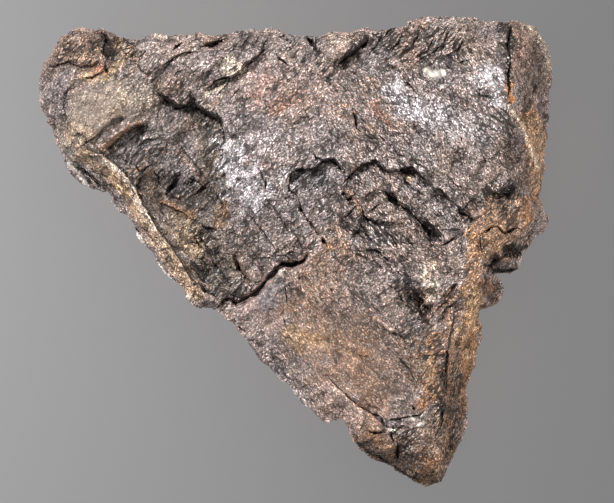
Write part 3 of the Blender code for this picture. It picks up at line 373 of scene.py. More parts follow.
PATCHES = (
    # broad regions
    Patch(Tint.STRAW, 4.2, 0.66, ((-34.0, 19.0), (-31.5, 22.5), (-29.0, 24.0))),
    Patch(Tint.STRAW, 2.6, 0.6, ((-27.0, 24.5), (-22.5, 24.5))),
    Patch(Tint.SAND, 2.2, 0.6, ((-34.0, 18.6), (-33.0, 17.8))),
    Patch(Tint.BROWN, 4.0, 0.4, ((-37.0, 30.5), (-34.0, 31.5), (-27.5, 31.6))),
    Patch(Tint.UMBER, 4.0, 0.45, ((-37.0, 30.8), (-34.0, 31.8), (-28.5, 31.6))),
    Patch(Tint.GOLD, 0.7, 0.5, ((-34.5, 29.8), (-32.5, 30.6), (-31.6, 29.6)), 1.2),
    Patch(Tint.STEEL, 1.7, 0.55, ((-37.0, 21.5), (-37.0, 24.0), (-35.5, 27.0))),
    Patch(Tint.STEEL, 2.0, 0.4, ((-26.5, 27.5), (-24.0, 27.5))),
    Patch(Tint.UMBER, 1.5, 0.5, ((-21.2, 26.4), (-19.0, 26.0))),
    Patch(Tint.OLIVE, 1.6, 0.35, ((-27.5, 22.0), (-25.0, 22.6))),
    Patch(Tint.BROWN, 2.0, 0.3, ((-22.0, 26.4), (-18.6, 26.2)), 1.0),
    shade_and_streaks(1.6, 0.3, (-21.6, 27.0), (-17.6, 25.4)),
    Patch(Tint.TAN, 2.4, 0.5, ((-35.0, 32.0), (-32.0, 31.0))),
    Patch(Tint.OLIVE, 5.5, 0.7, ((-24.0, 14.5), (-20.0, 10.5), (-17.0, 6.0), (-13.0, -1.0))),
    Patch(Tint.STEEL, 3.4, 0.6, ((-25.0, 15.5), (-21.0, 15.0), (-17.5, 11.5))),
    Patch(Tint.UMBER, 2.6, 0.55, ((-23.5, 12.0), (-21.5, 8.6), (-16.0, 8.5))),
    Patch(Tint.OLIVE, 2.4, 0.8, ((-14.5, 22.0), (-13.0, 18.0), (-13.0, 12.0), (-12.6, 8.0))),
    Patch(Tint.GOLD, 2.2, 0.32, ((-17.5, 4.5), (-16.0, 1.0))),
    Patch(Tint.OLIVE, 1.9, 0.8, ((-13.8, 16.6), (-13.0, 13.2))),
    Patch(Tint.UMBER, 1.9, 0.5, ((-13.0, -2.0), (-11.0, -4.0))),
    Patch(Tint.OLIVE, 3.0, 0.45, ((-14.0, -3.5), (-10.0, -3.5))),
    Patch(Tint.STEEL, 5.5, 0.6, ((-2.0, 5.0), (2.5, 10.5), (5.0, 8.0))),
    Patch(Tint.STEEL, 5.5, 0.35, ((10.0, 11.0), (17.0, 8.5), (23.0, 6.0))),
    Patch(Tint.STEEL, 3.0, 0.75, ((10.5, 2.8), (12.5, 3.2))),
    Patch(Tint.PINK, 4.6, 0.6, ((-6.0, 26.0), (-2.0, 24.5), (2.0, 25.5))),
    Patch(Tint.TAN, 8.0, 0.45, ((3.0, -5.0), (6.0, -12.0), (9.0, -17.0))),
    Patch(Tint.BROWN, 8.0, 0.47, ((6.0, -6.0), (9.0, -11.0), (14.0, -16.0))),
    Patch(Tint.BROWN, 2.4, 0.4, ((12.0, -9.0), (14.0, -10.0))),
    Patch(Tint.BROWN, 4.0, 0.6, ((11.5, -29.5), (16.0, -31.0), (20.5, -35.0))),
    Patch(Tint.STEEL, 3.5, 0.4, ((6.5, -9.0), (10.0, -4.5))),
    Patch(Tint.STEEL, 2.6, 0.45, ((12.0, -9.0), (15.5, -10.0))),
    Patch(Tint.UMBER, 3.2, 0.22, ((5.0, -16.5), (8.0, -13.0))),
    Patch(Tint.UMBER, 3.0, 0.25, ((15.0, -15.0), (17.0, -20.0))),
    Patch(Tint.PINK, 2.0, 0.62, ((-8.4, -8.6), (-6.0, -8.6), (-4.6, -10.6))),
    Patch(Tint.STEEL, 2.0, 0.9, ((-4.4, -7.2), (-2.8, -5.6))),
    Patch(Tint.STEEL, 2.0, 0.9, ((0.6, 11.2), (3.2, 10.4))),
    Patch(Tint.GREY, 1.7, 0.7, ((4.5, 8.2), (5.2, 5.6))),
    Patch(Tint.GREY, 1.6, 0.6, ((13.6, 10.8), (15.4, 9.6))),
    Patch(Tint.STEEL, 2.0, 0.6, ((15.5, 3.6), (17.5, 1.6))),
    Patch(Tint.UMBER, 1.6, 0.3, ((15.6, 3.4), (16.8, 2.4))),
    Patch(Tint.TAN, 2.8, 0.75, ((9.5, -15.5), (10.5, -20.0), (12.0, -23.0))),
    Patch(Tint.TAN, 3.0, 0.5, ((4.5, -20.0), (7.0, -23.0), (9.5, -26.5))),
    Patch(Tint.PINK, 1.8, 0.8, ((5.4, -21.4), (7.4, -23.6))),
    Patch(Tint.UMBER, 4.0, 0.45, ((12.0, -31.5), (19.0, -32.5), (21.0, -36.0))),
    Patch(Tint.SHEEN_SILVER, 2.5, 0.3, ((17.5, 22.5), (21.5, 21.5))),
    # silver lustre with painted sheen: lighter colour where light reflects
    Patch(Tint.SHEEN_SILVER, 3.0, 0.9, ((-9.9, 15.2), (-9.2, 12.2), (-7.0, 10.0)), 1.0),
    Patch(Tint.SHEEN_SILVER, 3.0, 0.3, ((-7.0, 16.0), (-3.0, 17.5)), 1.0),
    Patch(Tint.SHEEN_SILVER, 1.8, 0.95, ((14.9, 25.4), (16.6, 22.9), (18.6, 21.6))),
    Patch(Tint.SHEEN_SILVER, 1.7, 0.55, ((19.2, 21.8), (22.4, 21.5))),
    Patch(Tint.SHEEN_SILVER, 2.2, 1.0, ((29.6, 27.2), (30.8, 26.2), (31.8, 24.6)), 0.4),
    Patch(Tint.SHEEN_SILVER, 2.6, 0.36, ((23.0, 20.5), (27.0, 19.6), (29.5, 18.9))),
    Patch(Tint.SHEEN_SILVER, 1.2, 0.4, ((-2.4, 12.2), (-1.6, 10.6))),
    # cream and gold
    Patch(Tint.UMBER, 2.0, 0.6, ((-29.0, 32.6), (-26.0, 31.4))),
    Patch(Tint.GOLD, 0.9, 0.9, ((-27.5, 32.3), (-26.2, 31.2))),
    Patch(Tint.CREAM, 0.4, 0.9, ((-27.0, 32.0), (-26.4, 31.5))),
    Patch(Tint.CREAM, 1.5, 1.0, ((-10.4, 29.1), (-9.3, 28.4)), 0.4),
    Patch(Tint.CREAM, 0.8, 0.7, ((-13.9, 24.8), (-11.2, 26.4))),
    Patch(Tint.CREAM, 0.9, 0.35, ((4.9, 33.1), (7.2, 32.6))),
    Patch(Tint.UMBER, 3.0, 0.34, ((8.0, 27.0), (8.5, 25.0))),
    Patch(Tint.GOLD, 1.7, 0.7, ((-0.8, -13.2), (3.6, -13.8))),
    Patch(Tint.CREAM, 1.1, 0.85, ((20.6, -1.7), (20.0, -4.0))),
    # pale top rim: painted highlight
    Patch(Tint.CREAM, 0.6, 0.8, ((-22.0, 33.9), (-19.5, 33.7))),
    Patch(Tint.SAND, 1.3, 0.9, ((-33.5, 15.4), (-31.0, 13.8), (-28.4, 11.8), (-26.0, 9.0), (-24.6, 6.4),
                                 (-22.4, 3.0), (-20.2, 0.2), (-17.8, -3.4), (-15.4, -6.4))),
    Patch(Tint.GOLD, 0.9, 0.8, ((-28.5, 11.9), (-27.6, 11.0), (-26.3, 9.4))),
    Patch(Tint.CREAM, 0.6, 0.75, ((-31.0, 15.0), (-28.0, 12.9), (-26.2, 11.2), (-24.6, 7.6), (-22.4, 3.9))),
    # ochre and rust
    Patch(Tint.OCHRE, 0.7, 0.5, ((-30.6, 15.8), (-27.8, 18.1), (-24.5, 19.8))),
    Patch(Tint.RUST, 1.0, 0.75, ((-31.0, 28.7), (-30.2, 28.3))),
    Patch(Tint.GOLD, 0.8, 0.6, ((-33.0, 27.5), (-30.0, 27.0), (-27.4, 29.6))),
    Patch(Tint.OCHRE, 0.6, 0.5, ((-20.7, 7.9), (-18.7, 7.2), (-16.4, 5.6))),
    Patch(Tint.TAN, 0.5, 0.7, ((-18.1, 15.8), (-16.2, 13.2), (-14.1, 10.4))),
    Patch(Tint.RUST, 1.6, 0.3, ((-4.4, 27.1), (-5.6, 25.0))),
    Patch(Tint.RUST, 1.3, 0.3, ((-3.5, 22.6), (-0.5, 24.0))),
    Patch(Tint.RUST, 0.9, 0.35, ((12.0, 22.9), (14.4, 19.7))),
    Patch(Tint.GOLD, 0.6, 0.7, ((17.0, 11.9), (17.7, 11.5))),
    Patch(Tint.OCHRE, 2.2, 0.32, ((7.0, 3.2), (6.2, 1.4))),
    Patch(Tint.OCHRE, 1.1, 0.5, ((-11.5, 7.0), (-11.5, 5.0))),
    Patch(Tint.OCHRE, 0.9, 0.6, ((10.1, -15.7), (11.0, -15.9))),
    Patch(Tint.SAND, 2.4, 0.55, ((29.8, 6.2), (31.6, 6.6), (30.4, 2.4)), 1.0),
    Patch(Tint.OCHRE, 3.2, 0.55, ((29.5, 5.0), (31.0, 6.5), (33.0, 3.5), (30.5, 1.0))),
    Patch(Tint.OCHRE, 1.6, 0.75, ((27.6, 3.0), (27.6, -4.0), (27.4, -10.0), (26.6, -15.0))),
    Patch(Tint.AMBER, 0.65, 0.95, ((33.0, 26.2), (32.9, 25.0), (33.2, 23.7))),
    Patch(Tint.OCHRE, 1.2, 0.8, ((35.4, 7.6), (36.0, 5.4))),
    Patch(Tint.RUST, 1.2, 0.9, ((29.4, -5.2), (30.4, -6.9))),
    Patch(Tint.UMBER, 0.9, 0.5, ((29.6, -6.6), (30.6, -7.2))),
    Patch(Tint.GOLD, 1.3, 0.8, ((27.6, -6.6), (27.3, -11.0)), 0.9),
    Patch(Tint.RUST, 0.9, 0.4, ((19.4, -23.8), (20.5, -20.1))),
    Patch(Tint.OCHRE, 0.6, 0.5, ((7.9, 9.4), (9.6, 7.4), (9.9, 6.0))),
    Patch(Tint.TAN, 0.45, 0.85, ((20.1, -10.8), (21.4, -9.0), (22.9, -7.4))),
    Patch(Tint.TAN, 3.0, 0.4, ((20.0, -17.0), (20.5, -21.0))),
    Patch(Tint.OCHRE, 1.5, 0.6, ((20.4, -14.5), (20.8, -19.0), (19.6, -23.4)), 1.2),
    Patch(Tint.STEEL, 2.2, 0.5, ((13.5, -15.0), (15.0, -20.0), (16.5, -22.5)), 1.0),
    # flank
    Patch(Tint.TAN, 2.6, 0.5, ((35.5, 34.0), (35.0, 30.0))),
    Patch(Tint.UMBER, 2.2, 0.6, ((37.5, 30.5), (37.0, 26.0))),
    # pale line along the top right rim: painted highlight
    Patch(Tint.STRAW, 0.8, 0.8, ((36.2, 35.2), (38.4, 33.0), (39.6, 29.0))),
    Patch(Tint.OCHRE, 2.0, 0.8, ((36.0, 21.0), (37.4, 16.0), (38.0, 9.0))),
    Patch(Tint.SAND, 1.4, 0.55, ((36.8, 20.0), (37.8, 15.0), (38.2, 10.0))),
    Patch(Tint.UMBER, 1.9, 0.6, ((32.6, 18.4), (33.6, 14.8), (34.4, 11.8))),
    Patch(Tint.OCHRE, 1.2, 0.6, ((26.8, -14.0), (26.4, -19.0))),
    Patch(Tint.OCHRE, 1.4, 0.8, ((26.9, -14.0), (26.5, -18.4))),
    # dark band down the lower right side: painted shade
    Patch(Tint.UMBER, 1.6, 0.9, ((24.8, -20.0), (24.4, -26.0), (24.0, -32.0))),
    Patch(Tint.OCHRE, 0.7, 0.7, ((25.9, -20.0), (25.6, -25.0))),
    Patch(Tint.BROWN, 1.2, 0.6, ((29.5, -5.0), (30.4, -7.0))),
    # dark places: dark streaks, and painted shade under ledges and in cracks
    shade_and_streaks(1.7, 0.72, (16.8, -5.0), (17.9, -7.2), (19.8, -10.0)),
    Patch(Tint.CREAM, 1.4, 0.8, ((20.7, -5.4), (21.0, -6.6)), 0.5),
    shade_and_streaks(1.1, 0.8, (18.6, 5.2), (20.0, 4.0), (21.4, 2.4)),
    shade_and_streaks(0.8, 0.6, (14.0, 9.2), (16.4, 7.2), (18.6, 5.4)),
    shade_and_streaks(2.0, 0.5, (9.4, 3.4), (12.2, 4.0), (14.1, 1.9)),
    shade_and_streaks(2.8, 0.42, (13.4, 31.4), (18.0, 32.2), (24.5, 33.0)),
    shade_and_streaks(1.9, 0.5, (16.6, 31.2), (18.8, 32.0), (21.5, 31.2)),
    shade_and_streaks(1.2, 0.6, (12.7, 33.8), (15.4, 34.1)),
    shade_and_streaks(1.1, 0.5, (20.0, 29.8), (23.8, 30.2), (26.5, 31.0)),
    shade_and_streaks(1.0, 0.85, (31.6, 36.0), (32.2, 34.4), (32.8, 32.6), ragged=0.9),
    shade_and_streaks(0.6, 0.7, (32.8, 31.6), (32.6, 28.8), (32.9, 26.6), ragged=0.9),
    shade_and_streaks(1.5, 0.35, (-2.8, -0.4), (0.8, -0.2)),
    shade_and_streaks(1.5, 0.45, (-0.4, 11.2), (1.6, 11.4), (3.4, 12.2)),
    shade_and_streaks(1.5, 0.4, (8.2, 11.2), (10.2, 12.6), (12.6, 13.0)),
    shade_and_streaks(1.1, 0.45, (16.2, 12.4), (18.6, 12.2), (20.4, 10.4)),
    shade_and_streaks(1.0, 0.4, (21.6, 9.4), (24.4, 6.8), (27.0, 5.0)),
    shade_and_streaks(1.2, 0.4, (13.0, -0.6), (16.0, -2.0)),
    shade_and_streaks(1.2, 0.5, (-19.4, 23.4), (-15.5, 22.4), (-12.5, 21.2)),
    shade_and_streaks(1.7, 0.45, (-13.8, 20.0), (-13.2, 16.4), (-12.6, 12.8)),
    shade_and_streaks(1.1, 0.6, (-29.8, 33.2), (-28.8, 30.8)),
    shade_and_streaks(1.4, 0.45, (-27.6, 33.0), (-25.6, 31.4), ragged=1.1),
    shade_and_streaks(1.6, 0.35, (-35.5, 32.6), (-32.0, 32.4)),
    shade_and_streaks(0.8, 0.6, (-32.4, 28.8), (-30.2, 28.9)),
    shade_and_streaks(1.6, 0.35, (-26.6, 15.4), (-24.8, 12.4), (-24.0, 9.4)),
    shade_and_streaks(1.7, 0.5, (-20.8, 11.6), (-19.0, 10.2), (-17.0, 9.0)),
    shade_and_streaks(2.4, 0.3, (-23.0, 15.0), (-18.0, 14.0), (-14.0, 9.0), ragged=1.2),
    shade_and_streaks(1.1, 0.45, (-15.6, 4.2), (-14.2, 1.8), (-13.0, 0.4)),
    shade_and_streaks(1.7, 0.6, (-14.0, -2.6), (-12.6, -5.0), (-11.0, -6.8)),
    shade_and_streaks(0.7, 0.6, (-33.6, 12.9), (-31.2, 11.0), (-29.8, 9.9), ragged=0.8),
    shade_and_streaks(0.9, 0.6, (6.6, 29.2), (8.4, 31.0), (10.8, 33.2), ragged=0.9),
    shade_and_streaks(0.9, 0.35, (2.4, 32.6), (3.6, 29.6), (4.8, 27.0)),
    shade_and_streaks(0.9, 0.45, (-10.4, 27.4), (-7.4, 29.4), (-5.2, 31.6), ragged=0.9),
    shade_and_streaks(1.2, 0.35, (-1.6, 33.0), (0.2, 30.6), (1.6, 29.8)),
    shade_and_streaks(0.9, 0.5, (15.8, -12.2), (17.8, -13.8)),
    shade_and_streaks(0.7, 0.5, (22.9, -15.0), (22.7, -19.0), (22.2, -25.0)),
    # broad tones over the rest
    Patch(Tint.BROWN, 6.0, 0.32, ((2.0, -10.0), (8.0, -14.0), (14.0, -18.5)), 0.6),
    Patch(Tint.CREAM, 1.6, 0.2, ((-33.5, 18.5), (-32.6, 17.6)), 0.8),
    Patch(Tint.GOLD, 1.0, 0.35, ((-27.2, 10.2), (-25.8, 8.8)), 0.8),
    Patch(Tint.CREAM, 0.9, 0.25, ((-21.2, 1.8), (-19.8, 0.2)), 0.8),
    Patch(Tint.CREAM, 1.3, 0.22, ((-14.2, 25.8), (-12.8, 25.2)), 0.8),
    Patch(Tint.CREAM, 1.8, 0.16, ((5.8, -22.0), (7.2, -23.0)), 0.8),
    Patch(Tint.UMBER, 1.3, 0.5, ((20.4, -35.0), (21.6, -36.0)), 0.8),
    Patch(Tint.OCHRE, 2.2, 0.5, ((24.2, -8.0), (24.6, -15.0), (24.0, -22.0)), 0.8),
    Patch(Tint.UMBER, 1.6, 0.18, ((30.6, 2.2), (29.4, 0.8)), 0.8),
    Patch(Tint.UMBER, 1.4, 0.5, ((29.6, -5.4), (30.4, -6.6)), 0.8),
    Patch(Tint.BROWN, 3.5, 0.22, ((-33.0, 24.0), (-29.0, 22.5)), 0.6),
    Patch(Tint.TAN, 4.6, 0.3, ((11.0, 8.5), (15.5, 5.5), (19.0, 2.0)), 0.8),
    Patch(Tint.TAN, 3.6, 0.25, ((24.0, 13.5), (28.0, 10.5)), 0.8),
    Patch(Tint.TAN, 2.6, 0.25, ((18.0, 32.5), (28.0, 32.5)), 0.8),
    Patch(Tint.OCHRE, 1.3, 0.55, ((21.4, -13.0), (21.6, -18.0), (20.6, -23.0)), 1.0),
    Patch(Tint.GOLD, 0.8, 0.6, ((20.2, -15.0), (20.8, -19.5)), 1.2),
    Patch(Tint.GOLD, 0.7, 0.5, ((25.6, -12.0), (26.0, -16.0)), 1.0),
    Patch(Tint.OCHRE, 2.4, 0.45, ((22.6, -26.0), (22.0, -31.0), (20.6, -35.0)), 1.0),
    Patch(Tint.OCHRE, 1.4, 0.4, ((12.0, -28.6), (14.0, -30.6)), 1.0),
    # streaks of the flank and the foot
    shade_and_streaks(1.6, 0.2, (20.6, -12.4), (21.4, -17.0), (21.2, -22.0)),
    shade_and_streaks(1.2, 0.5, (15.6, -27.2), (17.4, -28.8), (16.4, -31.0)),
    shade_and_streaks(1.2, 0.28, (21.8, -27.0), (22.4, -31.0), (21.6, -35.6)),
    shade_and_streaks(1.0, 0.6, (16.0, -37.0), (19.0, -37.4), (21.5, -37.0)),
    shade_and_streaks(1.0, 0.5, (24.6, -18.6), (24.6, -23.0), (24.2, -30.0)),
    # small pale plates
    Patch(Tint.PINK, 0.9, 0.7, ((15.3, 0.9), (15.0, -0.4))),
    Patch(Tint.PINK, 0.8, 0.6, ((10.6, 8.3), (11.3, 7.6))),
    # dark nooks: painted shade under overhangs and in hollows
    shade_and_streaks(1.6, 0.7, (29.6, 9.3), (31.6, 9.2), (33.2, 9.6), ragged=0.6),
    shade_and_streaks(0.9, 0.75, (31.4, 8.0), (32.4, 6.6), ragged=0.6),
    shade_and_streaks(0.8, 0.7, (-25.9, 18.2), (-23.5, 19.3), ragged=0.6),
    shade_and_streaks(2.0, 0.5, (-11.0, -5.5), (-8.6, -5.6), ragged=0.6),
    shade_and_streaks(1.1, 0.6, (31.6, 21.2), (32.6, 19.0), ragged=0.9),
    shade_and_streaks(0.8, 0.85, (32.4, 35.0), (32.9, 33.0), ragged=0.9),
    shade_and_streaks(1.2, 1.0, (33.0, 0.5), (34.8, 0.3), ragged=0.5),
    shade_and_streaks(0.9, 0.7, (8.2, 30.8), (9.8, 32.2), ragged=0.8),
    # pale rims: painted highlights where light catches the rims
    Patch(Tint.CREAM, 0.26, 0.9, ((32.7, 23.0), (34.9, 19.8), (36.1, 16.5), (37.3, 13.4)), 0.9),
    Patch(Tint.WHITE, 0.3, 0.6, ((-35.2, 13.9), (-32.1, 9.8), (-28.2, 6.9), (-25.0, 3.0), (-21.9, -1.6),
                                 (-18.7, -5.2), (-15.6, -8.0)), 0.9),
    # white specks, and painted glints on the foot
    Patch(Tint.WHITE, 0.66, 1.0, ((20.2, 28.2), (20.7, 27.8), (21.5, 27.8), (22.5, 27.9)), 0.2),
    Patch(Tint.WHITE, 0.25, 0.9, ((22.4, 25.8), (22.8, 25.75)), 0.3),
    Patch(Tint.WHITE, 0.3, 0.95, ((14.3, -27.4), (14.9, -27.5)), 0.5),
    Patch(Tint.CREAM, 0.5, 0.5, ((30.6, 10.0), (31.6, 10.4)), 0.6),
    # glints on the foot: painted highlights
    Patch(Tint.WHITE, 0.3, 1.0, ((17.6, -25.5), (18.2, -25.8)), 0.7),
    Patch(Tint.WHITE, 0.22, 0.9, ((19.0, -26.7), (19.8, -26.3)), 0.9),
    Patch(Tint.CREAM, 0.26, 0.8, ((19.2, -25.3), (19.8, -25.1)), 0.7),
    Patch(Tint.WHITE, 0.24, 0.9, ((17.6, -30.2), (17.9, -30.5)), 0.5),
    Patch(Tint.WHITE, 0.35, 0.7, ((-2.6, -2.7), (-2.3, -3.4)), 0.4),
)


def smooth_step(low: float, high: float, values: np.ndarray) -> np.ndarray:
    """Rise smoothly from 0 at low to 1 at high; falls instead where low is the larger."""
    share = np.clip((values - low) / (high - low), 0.0, 1.0)
    return share * share * (3.0 - 2.0 * share)


def within(places: np.ndarray, line: Line, margin: float) -> np.ndarray:
    """Tell which places lie in the box round a line, widened by a margin."""
    low, high = np.min(line, axis=0) - margin, np.max(line, axis=0) + margin
    return ((places > low) & (places < high)).all(axis=1)


def distance_to_line(places: np.ndarray, line: Line) -> tuple[np.ndarray, np.ndarray, np.ndarray]:
    """Measure from each place to a line.

    Args:
        places: plan places, one row each.
        line: the line's points.

    Returns:
        The distance to the line, how far along it the nearest point lies, and 1 on the right of the
        line's direction or -1 on its left.
    """
    nearest = np.full(len(places), np.inf)
    along = np.zeros(len(places))
    side = np.ones(len(places))
    start = 0.0
    for first, last in zip(line, line[1:]):
        base, run = np.array(first), np.subtract(last, first)
        length = float(np.linalg.norm(run))
        apart = places - base
        share = np.clip(apart @ run / length**2, 0.0, 1.0)
        away = np.linalg.norm(apart - share[:, None] * run, axis=1)
        closer = away < nearest
        nearest[closer] = away[closer]
        along[closer] = start + share[closer] * length
        side[closer] = np.where(apart[closer, 0] * run[1] > apart[closer, 1] * run[0], 1.0, -1.0)
        start += length
    return nearest, along, side


def lean(seen: np.ndarray) -> np.ndarray:
    """Tell where the grain leans to the left rather than to the right.

    Args:
        seen: plan places, one row each.

    Returns:
        Shares from 0 to 1.
    """
    share = np.zeros(len(seen))
    for line, radius in LEANING:
        near = within(seen, line, 2.0 * radius)
        away = distance_to_line(seen[near], line)[0] / radius
        share[near] = np.maximum(share[near], np.clip(1.5 - away, 0.0, 1.0))
    return share


def swelled(seen: np.ndarray, usual: float, regions: tuple) -> np.ndarray:
    """Raise or lower a usual value in some regions of the plan.

    Args:
        seen: plan places, one row each.
        usual: the value outside the regions.
        regions: the centre, the radius and the change of each.

    Returns:
        A value for each place.
    """
    level = np.full(len(seen), usual)
    for centre, radius, change in regions:
        level += change * np.exp(-((seen - np.array(centre)) ** 2).sum(axis=1) / radius**2)
    return level


def noise_at(places: np.ndarray, size: float, layer: float = 0.0, octaves: int = 1) -> np.ndarray:
    """Read smooth noise at places of the stone.

    Args:
        places: places in millimetres, three columns.
        size: how wide one swell of the noise is.
        layer: moves the noise, so that two readings differ.
        octaves: how many finer layers are added.

    Returns:
        Values from about -1 to 1.
    """
    moved = places / size + np.array((layer, 1.7 * layer, 0.3 * layer))
    if octaves == 1:
        return np.array([noise.noise(Vector(place)) for place in moved.tolist()])
    return np.array([noise.fractal(Vector(place), 1.0, 2.0, octaves) for place in moved.tolist()])


def chip_relief(places: np.ndarray, size: float, layer: float, level: float = 0.7) -> np.ndarray:
    """Read the relief of flat chips, each with its own tilt and level.

    Args:
        places: places in millimetres, three columns.
        size: how wide a chip is.
        layer: picks another set of chips.
        level: height between neighbouring chips, as a share of their tilt.

    Returns:
        Heights in shares of the chip's size.
    """
    scramble = 37.3  # moves a chip's corner to where its own tilt is read
    half = Vector((0.5, 0.5, 0.5))
    heights = []
    for place in (places / size + layer).tolist():
        spot = Vector(place)
        corner = noise.voronoi(spot)[1][0]
        tilt = noise.cell_vector(corner * scramble) - half
        heights.append(tilt.dot(spot - corner) + level * tilt.z)
    return np.array(heights)


def chipped(places: np.ndarray, chips: tuple, gain: float = 1.6) -> np.ndarray:
    """Add up the relief of several sizes of chips, each given as its size, depth and layer."""
    return sum(depth * size * chip_relief(places, size, layer) * gain for size, depth, layer in chips)


def rows_of(items: bpy.types.bpy_prop_collection, name: str, width: int = 3) -> np.ndarray:
    """Read one value of every vertex or face.

    Args:
        items: the vertices, faces or normals of a mesh.
        name: the value's name in Blender.
        width: how many numbers the value has.

    Returns:
        A row for each.
    """
    values = np.empty(len(items) * width, np.float32)
    items.foreach_get(name, values)
    return values.reshape(-1, width).astype(float)


def edge_ends(mesh: bpy.types.Mesh) -> np.ndarray:
    """Read the two vertices of every edge.

    Args:
        mesh: the mesh to read.

    Returns:
        Two columns of vertex numbers.
    """
    ends = np.empty(len(mesh.edges) * 2, np.int32)
    mesh.edges.foreach_get("vertices", ends)
    return ends.reshape(-1, 2)


def blend_tint(colour: np.ndarray, tint: Tint, share: np.ndarray) -> np.ndarray:
    """Cover colours with a tint by a share each."""
    return colour + share[:, None] * (np.array(tint.value) - colour)


def write_values(mesh: bpy.types.Mesh, name: str, values: np.ndarray) -> None:
    """Keep a number of every vertex on the mesh."""
    mesh.attributes.new(name, "FLOAT", "POINT").data.foreach_set("value", values.astype(np.float32))


def write_colour(mesh: bpy.types.Mesh, name: str, colour: np.ndarray) -> None:
    """Keep a colour of every vertex on the mesh."""
    rows = np.column_stack([colour, np.ones(len(colour))]).astype(np.float32)
    mesh.attributes.new(name, "FLOAT_COLOR", "POINT").data.foreach_set("color", rows.ravel())


@dataclass(frozen=True)
class Viewpoint:
    """Where the camera hangs over the stone, and how the plan lies in the frame."""

    centre: Place = (1.22, 0.44)
    plan_origin: Place = (-0.3685, 0.2456)
    face_height: float = 21.0
    distance: float = 500.0
    frame_width: float = 95.17
    sensor_width: float = 36.0
    clip: tuple = (0.01, 20.0)

    def seen(self, points: np.ndarray) -> np.ndarray:
        """Turn points of the stone into the plan places where the camera sees them.

        Args:
            points: places in millimetres, three columns.

        Returns:
            Two columns of plan millimetres.
        """
        centre = np.array(self.centre)
        spread = self.distance / (self.distance + self.face_height - points[:, 2])
        flat = centre + (points[:, :2] - centre) * spread[:, None]
        return flat - np.array(self.plan_origin)

    def place_camera(self) -> None:
        """Hang the camera and make it the scene's own."""
        height = (self.face_height + self.distance) * MM
        bpy.ops.object.camera_add(location=(self.centre[0] * MM, self.centre[1] * MM, height))
        camera = bpy.context.object
        camera.name = "camera"
        camera.data.sensor_width = self.sensor_width
        camera.data.lens = self.sensor_width * self.distance / self.frame_width
        camera.data.clip_start, camera.data.clip_end = self.clip
        bpy.context.scene.camera = camera
        LOG.info("camera: %.0f mm above the face", self.distance)


class Wiring:
    """Places and joins the nodes of one shader tree."""

    def __init__(self, tree: bpy.types.NodeTree) -> None:
        """Start on an emptied tree."""
        self.tree = tree
        tree.nodes.clear()

    def set_input(self, socket: Socket, value: Value) -> None:
        """Join a socket to another one, or set it to a plain value.

        Args:
            socket: the input to fill.
            value: the other socket or the plain value.
        """
        if isinstance(value, Socket):
            self.tree.links.new(value, socket)
        else:
            socket.default_value = value

    def node(self, kind: str, inputs: dict | None = None, **settings: object) -> bpy.types.Node:
        """Add a node.

        Args:
            kind: the node's type, without ShaderNode.
            inputs: values or sockets for its inputs, by name or number.
            settings: the node's own settings.

        Returns:
            The new node.
        """
        made = self.tree.nodes.new("ShaderNode" + kind)
        for name, value in settings.items():
            setattr(made, name, value)
        for key, value in (inputs or {}).items():
            self.set_input(made.inputs[key], value)
        return made

    def math(self, operation: str, *values: Value) -> Socket:
        """Work out one number from others."""
        return self.node("Math", dict(enumerate(values)), operation=operation).outputs[0]

    def times(self, first: Value, second: Value) -> Socket:
        """Multiply two numbers."""
        return self.math("MULTIPLY", first, second)

    def times_plus(self, first: Value, second: Value, added: Value) -> Socket:
        """Multiply two numbers and add a third."""
        return self.math("MULTIPLY_ADD", first, second, added)

    def vector(self, operation: str, *values: Value) -> Socket:
        """Work out one vector from others."""
        return self.node("VectorMath", dict(enumerate(values)), operation=operation).outputs[0]

    def scaled(self, vector: Value, scale: Value) -> Socket:
        """Lengthen a vector."""
        return self.node("VectorMath", {0: vector, "Scale": scale}, operation="SCALE").outputs[0]

    def centred(self, colour: Value) -> Socket:
        """Turn a colour from 0 to 1 into a vector about nothing."""
        return self.vector("SUBTRACT", colour, (0.5, 0.5, 0.5))

    def ramp(self, value: Value, low: float, high: float, first: float = 0.0, last: float = 1.0,
             smooth: bool = True) -> Socket:
        """Turn a number's range into another range.

        Args:
            value: the number.
            low: where the first value is reached.
            high: where the last value is reached.
            first: the result at low.
            last: the result at high.
            smooth: whether the ends are eased.

        Returns:
            The socket of the result.
        """
        kind = "SMOOTHSTEP" if smooth else "LINEAR"
        inputs = {0: value, 1: low, 2: high, 3: first, 4: last}
        return self.node("MapRange", inputs, interpolation_type=kind).outputs[0]

    def about_one(self, value: Value, spread: float) -> Socket:
        """Turn a number from 0 to 1 into a factor about 1."""
        return self.ramp(value, 0.0, 1.0, 1.0 - spread, 1.0 + spread, False)

    def mix(self, share: Value, first: Value, second: Value, blend: str = "MIX") -> Socket:
        """Blend two colours."""
        inputs = {"Factor": share, 6: first, 7: second}
        return self.node("Mix", inputs, data_type="RGBA", blend_type=blend).outputs[2]

    def noise(self, place: Value, scale: float, detail: float = 2.0) -> bpy.types.Node:
        """Read smooth noise."""
        return self.node("TexNoise", {"Vector": place, "Scale": scale, "Detail": detail})

    def painted(self, name: str) -> Socket:
        """Read one of the mesh's own numbers."""
        return self.node("Attribute", attribute_name=name).outputs["Fac"]


